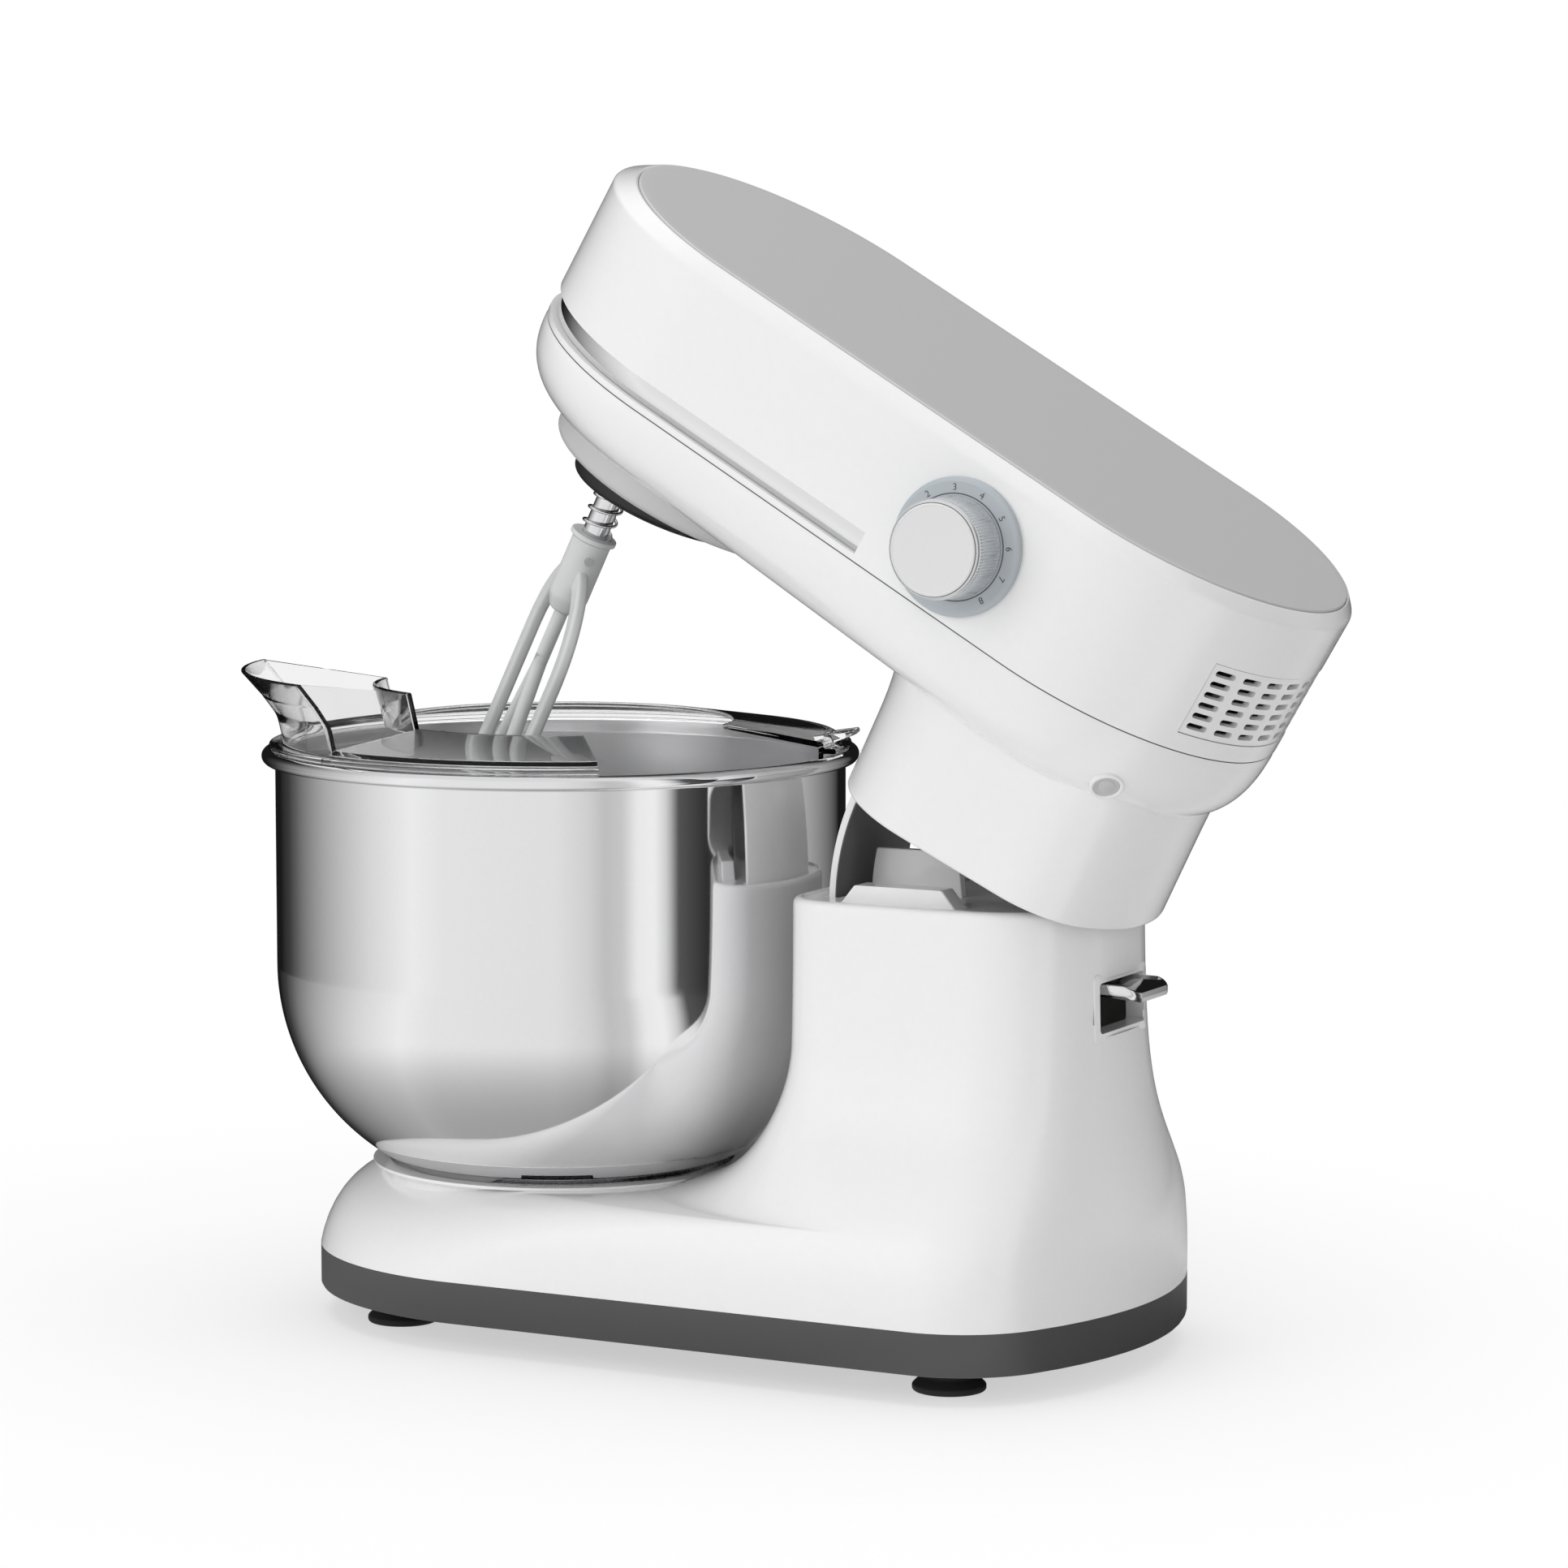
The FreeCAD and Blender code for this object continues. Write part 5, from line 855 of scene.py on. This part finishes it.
def screw_well():
    """Raised ring round a screw's head, under the rear of the head."""
    form = turned(rounded([(4.9, -1.5, 0), (6.3, -1.5, 0), (6.3, 1.1, 0.5), (4.9, 1.1, 0.4)]), segments=64)
    spun([(0, 0.35, 0), (4.95, 0.35, 0), (4.95, -1.0, 0), (0, -1.0, 0)], segments=64, mark=1, form=form)
    turned([(0, 1.0), (1.6, 0.95), (2.9, 0.7), (3.3, 0.2), (0, 0.2)], segments=48, ring=False, mark=1,
           form=form)
    return form.moved(SCREW_AXIS.to_track_quat("Z", "Y").to_matrix().to_4x4())


piece("web", hinge_web(), slot="white_shell", body="base", bevel=0.6)
piece("screw_well", screw_well(), place=Matrix.Translation(SCREW_PLACE), look=[white, LOOKS["grey_panel"]],
      slot="white_shell", body="head")
piece("cover_top", upper_cover(), "upper_cover", HEAD, sharp=30)
piece("panel", top_panel(), "top_panel", HEAD)
piece("trim", trim_strip(), "trim_strip", HEAD)
# Painted shade in the seam between the covers.
piece("seam_gasket", seam_gasket(), None, HEAD, seam_painted_shade, "dark_band", "head")
piece("grille", vent_grille(), "vent_grille", HEAD)
piece("cover_low", lower_cover(), "lower_cover", CLOSED)
# The shroud's inner side takes painted shade.
piece("shroud", neck_shroud(), "neck_shroud", CLOSED, [white, shroud_inner_shade])


# Dial and knob, with their axis towards the near side
DIAL = Vector((146.3, -COVER_RADIUS, 52.5))
DIAL_RADIUS, DIAL_THICKNESS = 25.2, 4.0
KNOB_RADIUS, KNOB_LENGTH, KNOB_CAP = 18.6, 16.4, 16.6
TO_NEAR = HEAD @ Matrix.Translation(DIAL) @ Matrix.Rotation(pi / 2, 4, "X")
NUMBER_RADIUS, NUMBER_SIZE, NUMBER_START, NUMBER_STEP = 21.4, 3.5, -120.0, 30.0
DIAL_STEP, DIAL_EDGE, DIAL_BORE = 0.6, 1.6, 8.0
LINE_HEIGHT = 0.06
GRIP_LOW = DIAL_THICKNESS + FIT
GRIP_TOP = GRIP_LOW + KNOB_LENGTH


def dial_numbers():
    """Numbers 0 to 8 round the knob, their tops outwards."""
    form = Form()
    for value in range(9):
        text = bpy.data.curves.new("number", "FONT")
        text.body = str(value)
        text.size = NUMBER_SIZE
        text.align_x = "CENTER"
        text.align_y = "CENTER"
        text.extrude = 0.04
        holder = bpy.data.objects.new("number", text)
        shape = holder.to_mesh()
        turn = radians(NUMBER_START + NUMBER_STEP * value)
        place = Matrix.Rotation(-turn, 4, "Z") @ Matrix.Translation((0, NUMBER_RADIUS, DIAL_THICKNESS - 0.56))
        form.add([place @ v.co for v in shape.vertices], [list(f.vertices) for f in shape.polygons])
        holder.to_mesh_clear()
        bpy.data.objects.remove(holder)
        bpy.data.curves.remove(text)
    return form


def dial_ring():
    """Stepped disc: an outer edge, the ring of numbers and an inner step."""
    face = DIAL_THICKNESS - DIAL_STEP
    return turned(rounded([
        (DIAL_BORE, 0, 0), (DIAL_RADIUS, 0, 0), (DIAL_RADIUS, DIAL_THICKNESS - DIAL_EDGE, 0.8),
        (DIAL_RADIUS - DIAL_EDGE, face, 0.3), (KNOB_RADIUS + 0.4, face, 0.1),
        (KNOB_RADIUS + 0.2, DIAL_THICKNESS, 0.1), (DIAL_BORE, DIAL_THICKNESS, 0)], 4), segments=192)


def knob():
    """Body with fine ribs round its side."""
    ribs, per_rib, bore, depth = 96, 6, 4.0, 0.32
    taper = 0.8 / KNOB_LENGTH
    rows = []
    sections = [(bore, 0.0, 0), (KNOB_RADIUS - 0.6, 0.0, 0), (KNOB_RADIUS, 0.5, 0)]
    sections += [(KNOB_RADIUS - taper * z, z, depth) for z in spread(1.4, KNOB_LENGTH - 2.6, 6)]
    sections += [(KNOB_RADIUS - draw_in, KNOB_LENGTH - drop, 0)
                 for draw_in, drop in ((0.75, 2.0), (0.8, 1.0), (1.2, 0.3), (1.7, 0.0))]
    sections += [(bore, KNOB_LENGTH, 0)]
    for radius, z, rib in sections:
        ring = []
        for a in spread(0, 2 * pi, ribs * per_rib)[:-1]:
            r = radius - rib * (0.5 - 0.5 * cos(ribs * a))
            ring.append(polar(r, a, GRIP_LOW + z))
        rows.append(ring)
    return Form().grid(rows, loop=True)


def knob_cap():
    top = GRIP_TOP
    return spun([(0, top, 0), (KNOB_CAP, top, 0.1), (KNOB_CAP, top + 0.5, 0.3),
                 (KNOB_CAP - 0.6, top + 0.8, 0.2), (KNOB_CAP - 1.1, top + 0.62, 0.3),
                 (0, top + 0.62, 0)], 4)


# Painted shade: dark lines round the knob's foot, in its gap at the dial, and round its cap's edge
for line, body, inner, outer, low in (
        ("knob_foot_shade", "head", KNOB_RADIUS + 0.42, KNOB_RADIUS + 0.85, DIAL_THICKNESS - 0.61),
        ("cap_edge_shade", body_of("knob"), KNOB_CAP - 0.1, KNOB_CAP + 0.28, GRIP_TOP - 0.02)):
    piece(line, band(inner, outer, low, low + LINE_HEIGHT, segments=160), None, TO_NEAR, ink_and_painted_shade,
          "black_plastic", body)
piece("dial", dial_ring(), "dial_ring", TO_NEAR)
piece("dial_numbers", dial_numbers(), None, TO_NEAR, ink_and_painted_shade, "black_plastic", "head")
# The grip is bright and the cap white, as in the photo; the record has these two slots the other way.
piece("knob_grip", knob(), "knob", TO_NEAR, slot="knob_metal")
piece("knob_face", knob_cap(), "knob_cap", TO_NEAR, slot="knob_white")

# Planetary head, beater and its spring
HOUSING_RADIUS, HOUSING_DEPTH, HOUSING_MOUTH, HOUSING_SHOULDER, HOUSING_RISE = 56.0, 14.0, 38.2, 10.0, 4.0
CARRIER_RADIUS, CARRIER_WALL, CARRIER_BOTTOM, CARRIER_HEIGHT, CARRIER_FLOOR = 37.4, 0.9, 223.8, 13.5, 2.7
PLANET_X, PLANET_TOP = -21.5, 238.0
MAIN_RADIUS, MAIN_TOP = 6.0, 288.0
HUB_TOP, HUB_LENGTH, HUB_RADIUS, HUB_RIM = 199.0, 27.0, 7.8, 9.2
SHAFT_RADIUS = 5.0
BEATER_HEADING = radians(-50.0)
TO_PLANET = Matrix.Translation((PLANET_X, 0, 0))


def planetary_housing():
    """Bowl-shaped skirt; its mouth stands square to the closed head's shaft."""
    turn = HOUSING_DEPTH - HOUSING_SHOULDER
    bore = HOUSING_RADIUS - COVER_WALL

    def bend(radius, angles):
        return [(HOUSING_RADIUS - turn + radius * sin(a), -HOUSING_SHOULDER - radius * cos(a))
                for a in angles[1:]]

    outline = [(HOUSING_MOUTH, -HOUSING_DEPTH), (HOUSING_RADIUS - turn, -HOUSING_DEPTH)]
    outline += bend(turn, spread(0, pi / 2, 20))
    outline += [(HOUSING_RADIUS, HOUSING_RISE), (bore, HOUSING_RISE), (bore, -HOUSING_SHOULDER)]
    outline += bend(turn - COVER_WALL, spread(pi / 2, 0, 14)) + [(HOUSING_MOUTH, COVER_WALL - HOUSING_DEPTH)]
    rows = []
    for a in spread(0, 2 * pi, 160)[:-1]:
        row = []
        for r, z in outline:
            shift = -z * tan(HEAD_SLOPE) if r <= HOUSING_MOUTH else HOUSING_X
            row.append(polar(r, a, z, shift))
        rows.append(row)
    return Form().grid(rows, loop=True)


def planet_carrier():
    """Cup that turns round the ring gear and closes the housing's mouth."""
    low, floor, top = [CARRIER_BOTTOM + up for up in (0, CARRIER_FLOOR, CARRIER_HEIGHT)]
    bore = CARRIER_RADIUS - CARRIER_WALL
    return spun([(0, low, 0), (CARRIER_RADIUS, low, 3), (CARRIER_RADIUS, top, 0.3), (bore, top, 0.3),
                 (bore, floor, 0.5), (0, floor, 0)], 8)


def shaft(radius, low, high, low_edge, high_edge):
    return spun([(0, low, 0), (radius, low, low_edge), (radius, high, high_edge), (0, high, 0)], segments=64)


def beater_spring():
    """Coil of four turns between the beater's hub and the carrier."""
    radius, wire, turns = 6.2, 1.2, 4
    low, high = HUB_TOP + 0.95, CARRIER_BOTTOM - 1.5
    path = [polar(radius, 2 * pi * turns * t, low + (high - low) * t, PLANET_X)
            for t in spread(0, 1, 48 * turns)]
    return tube(path, wire / 2, 12, Form())


def flat_beater():
    """Hub with a rim, two stems from it and a flat hoop."""
    half, low, bar, thick, edge, stem, fork = 38.0, 61.0, 8.0, 4.5, 1.6, 2.8, 142.5
    hub_low = HUB_TOP - HUB_LENGTH
    end, bore = hub_low + HUB_RADIUS - 0.4, SHAFT_RADIUS + 0.05
    form = spun([(0, hub_low - HUB_RADIUS, 0), (HUB_RADIUS * 0.72, hub_low - HUB_RADIUS * 0.75, 3),
                 (HUB_RADIUS, hub_low, 5), (HUB_RADIUS, HUB_TOP - 2.6, 0.6), (HUB_RIM, HUB_TOP - 1.8, 0.4),
                 (HUB_RIM, HUB_TOP, 0.4), (bore, HUB_TOP, 0.3), (bore, end, 0), (0, end, 0)], segments=72)
    neck = HUB_RADIUS / 2
    top = HUB_TOP - HUB_LENGTH / 2 - bar / 2
    shoulder = HUB_TOP - HUB_LENGTH / 2 - (half - neck) * 1.2
    side = half - bar / 2
    bend = low + half
    right = [(neck - 3, top)]
    right += [(neck + (side - neck) * sin(a) ** 1.15, shoulder + (top - shoulder) * cos(a) ** 0.9)
              for a in spread(0, pi / 2, 16)]
    right += [(side, z) for z in spread(shoulder, bend, 6)[1:]]
    right += [(side * cos(a), bend - side * sin(a)) for a in spread(0, pi / 2, 20)[1:]]
    path = [Vector((x, 0, z)) for x, z in right + [(-x, z) for x, z in right[-2::-1]]]
    section = rounded([(u * bar / 2, v * thick / 2, edge)
                       for u, v in ((-1, -1), (1, -1), (1, 1), (-1, 1))], 4)
    rows = []
    for i, p in enumerate(path):
        way = (path[min(i + 1, len(path) - 1)] - path[max(i - 1, 0)]).normalized()
        out = Vector((way.z, 0, -way.x))
        rows.append([p + out * u + Vector((0, v, 0)) for u, v in section])
    form.solid(rows)
    for sign in (-1, 1):
        # A stem is straight for a third of its points and then leans out to the hoop.
        path = []
        for t in spread(0, 1, 24):
            lean = max(3 * t - 1, 0) / 2
            z = hub_low + (fork - hub_low) * 3 * t if t < 1 / 3 else fork + (low + bar / 2 - fork) * lean
            path.append(Vector((sign * half / 2 * lean, 0, z)))
        tube(path, stem, 20, form)
    return form.moved(TO_PLANET @ Matrix.Rotation(BEATER_HEADING, 4, "Z"))


piece("housing", planetary_housing(), "planetary_housing", HEAD)
piece("carrier", planet_carrier(), "planet_carrier", CLOSED)
piece("centre_shaft", shaft(MAIN_RADIUS, CARRIER_BOTTOM + CARRIER_FLOOR / 2, MAIN_TOP, 0.5, 0.8),
      "main_shaft", CLOSED)
piece("drive_shaft",
      shaft(SHAFT_RADIUS, HUB_TOP - HUB_LENGTH + HUB_RADIUS, PLANET_TOP, 0.8, 0.5).moved(TO_PLANET),
      "beater_shaft", CLOSED, chrome)
piece("spring", beater_spring(), "beater_spring", CLOSED, chrome)
piece("beater", flat_beater(), "flat_beater", CLOSED)


# Studio: a pale floor, a white background, soft lights and the camera.
# Surround as polished metal shows it: brightness by bearing in degrees, from straight in front of the
# knob's side towards the rear; bright panels stand between dark screens.
BEARINGS = (
    (-180, 0.01), (-126, 0.01), (-112, 0.05), (-104, 0.12), (-90, 0.30), (-79, 0.45), (-67, 0.60),
    (-52, 0.79), (-32, 0.98), (-18, 0.90), (27, 0.86), (40, 0.74), (47, 0.60), (54, 0.66), (60, 0.95),
    (67, 1.0), (72, 0.72), (77, 0.10), (90, 0.03), (110, 0.10), (135, 0.55), (160, 0.25), (180, 0.02),
)


WORLD_LIGHT = 0.50
OVERHEAD = (0.80, 0.80, 0.80, 1)
WHITE = (1.0, 1.0, 1.0, 1)
# Floor: radius and fades by distance from the bowl's axis, in metres. Near the part it keeps part of its own
# shade, and in reflections its glow is darkened near the part as painted shade.
FLOOR_RADIUS = 0.95
WHITE_START, WHITE_END, WHITE_NEAR = 0.16, 0.50, 0.55
MIRROR_START, MIRROR_END, MIRROR_NEAR = 0.10, 0.32, 0.45
# Lamps: place, width, height, power
LAMPS = {
    "key": ((-0.9, -2.0, 1.1), 1.6, 1.4, 17.0),
    "side": ((0.9, -2.1, 0.9), 1.2, 1.4, 4.5),
    "top": ((0.0, 0.1, 2.4), 2.4, 2.4, 29.0),
}
LAMP_AIM = Vector((0.08, 0, 0.2))
CAMERA_AIM = Vector((97.77, 0, 212.01)) * MM
AZIMUTH, ELEVATION, DISTANCE, LENS = radians(27.5), radians(6.31), 2.0445, 123.3


def math_node(tree, operation, *inputs, clamp=False):
    return node(tree, "Math", dict(enumerate(inputs)), operation=operation, use_clamp=clamp).outputs["Value"]


def smooth(tree, value, start, end):
    """Soft step from 0 at start to 1 at end."""
    return node(tree, "MapRange", {"Value": value, "From Min": start, "From Max": end},
                interpolation_type="SMOOTHSTEP").outputs["Result"]


def mix(tree, share, first, second, blend="MIX"):
    mixed = node(tree, "MixRGB", {"Fac": share, "Color1": first, "Color2": second}, blend_type=blend)
    return mixed.outputs["Color"]


def panels(tree, split):
    """Brightness of the panels and screens in a direction that is split into X, Y and Z."""
    back = math_node(tree, "MULTIPLY", split.outputs["Y"], -1.0)
    bearing = math_node(tree, "ARCTAN2", split.outputs["X"], back)
    ramp = node(tree, "ValToRGB", {"Fac": math_node(tree, "MULTIPLY_ADD", bearing, 0.5 / pi, 0.5)})
    stops = ramp.color_ramp.elements
    while len(stops) < len(BEARINGS):
        stops.new(0.5)
    for stop, (turn, value) in zip(stops, BEARINGS):
        stop.position = turn / 360 + 0.5
        stop.color = (value, value, value, 1)
    return ramp.outputs["Color"]


def surround(scene):
    """White behind the part, panels and screens in its reflections, and plain light on everything else."""
    scene.world = bpy.data.worlds.new("surround")
    scene.world.use_nodes = True
    tree = scene.world.node_tree
    split = node(tree, "SeparateXYZ", {"Vector": node(tree, "TexCoord").outputs["Generated"]})
    mirrored = mix(tree, smooth(tree, split.outputs["Z"], 0.45, 0.9), panels(tree, split), OVERHEAD)
    rays = node(tree, "LightPath").outputs
    lit = mix(tree, rays["Is Glossy Ray"], (*[WORLD_LIGHT] * 3, 1), mirrored)
    behind = math_node(tree, "MAXIMUM", rays["Is Camera Ray"], rays["Is Transmission Ray"])
    feed(tree, tree.nodes["Background"].inputs["Color"], mix(tree, behind, lit, WHITE))


def floor_material():
    """Pale floor that fades to white, and in reflections to the surround's panels."""
    made, tree, surface = new_material("floor")
    for key, value in (("Base Color", (0.95, 0.95, 0.95, 1)), ("Roughness", 0.6),
                       ("Specular IOR Level", 0.1)):
        surface.inputs[key].default_value = value
    rays = node(tree, "LightPath").outputs
    where = node(tree, "TexCoord").outputs["Object"]
    away = node(tree, "VectorMath", {0: where}, operation="LENGTH").outputs["Value"]

    def faded(start, end, near):
        return math_node(tree, "MULTIPLY_ADD", smooth(tree, away, start, end), 1 - near, near)

    def glowing(share, first, colour):
        glow = node(tree, "Emission", {"Color": colour}).outputs["Emission"]
        return node(tree, "MixShader", {"Fac": share, 1: first, 2: glow}).outputs["Shader"]

    seen = math_node(tree, "ADD", rays["Is Camera Ray"], rays["Is Transmission Ray"], clamp=True)
    share = math_node(tree, "MULTIPLY", faded(WHITE_START, WHITE_END, WHITE_NEAR), seen)
    white_far = glowing(share, surface.outputs["BSDF"], WHITE)
    # In reflections the floor glows with the panels' brightness, darkened near the part as painted shade.
    level = panels(tree, node(tree, "SeparateXYZ", {"Vector": where}))
    dimmed = mix(tree, 1.0, level, faded(MIRROR_START, MIRROR_END, MIRROR_NEAR), "MULTIPLY")
    whole = glowing(rays["Is Glossy Ray"], white_far, dimmed)
    feed(tree, tree.nodes["Material Output"].inputs["Surface"], whole)
    return made


def placed(scene, name, data, place, aim):
    """Lamp or camera at a place, looking at a point."""
    obj = bpy.data.objects.new(name, data)
    scene.collection.objects.link(obj)
    obj.location = place
    obj.rotation_euler = (aim - Vector(place)).to_track_quat("-Z", "Y").to_euler()
    return obj


def studio():
    scene = bpy.context.scene
    bpy.ops.mesh.primitive_circle_add(vertices=96, radius=FLOOR_RADIUS, fill_type="NGON")
    floor = bpy.context.object
    floor.name = "floor"
    floor.data.materials.append(floor_material())
    surround(scene)
    for name, (place, width, height, power) in LAMPS.items():
        data = bpy.data.lights.new(name, "AREA")
        data.energy = power
        data.shape = "RECTANGLE"
        data.size = width
        data.size_y = height
        placed(scene, name, data, place, LAMP_AIM).visible_glossy = False
    camera = bpy.data.cameras.new("camera")
    camera.lens = LENS
    camera.sensor_width = 36.0
    camera.clip_end = 50
    level = cos(ELEVATION)
    away = Vector((sin(AZIMUTH) * level, -cos(AZIMUTH) * level, sin(ELEVATION)))
    scene.camera = placed(scene, "camera", camera, CAMERA_AIM + away * DISTANCE, CAMERA_AIM)
    scene.view_settings.view_transform = "Standard"
    scene.cycles.transparent_max_bounces = 32


studio()
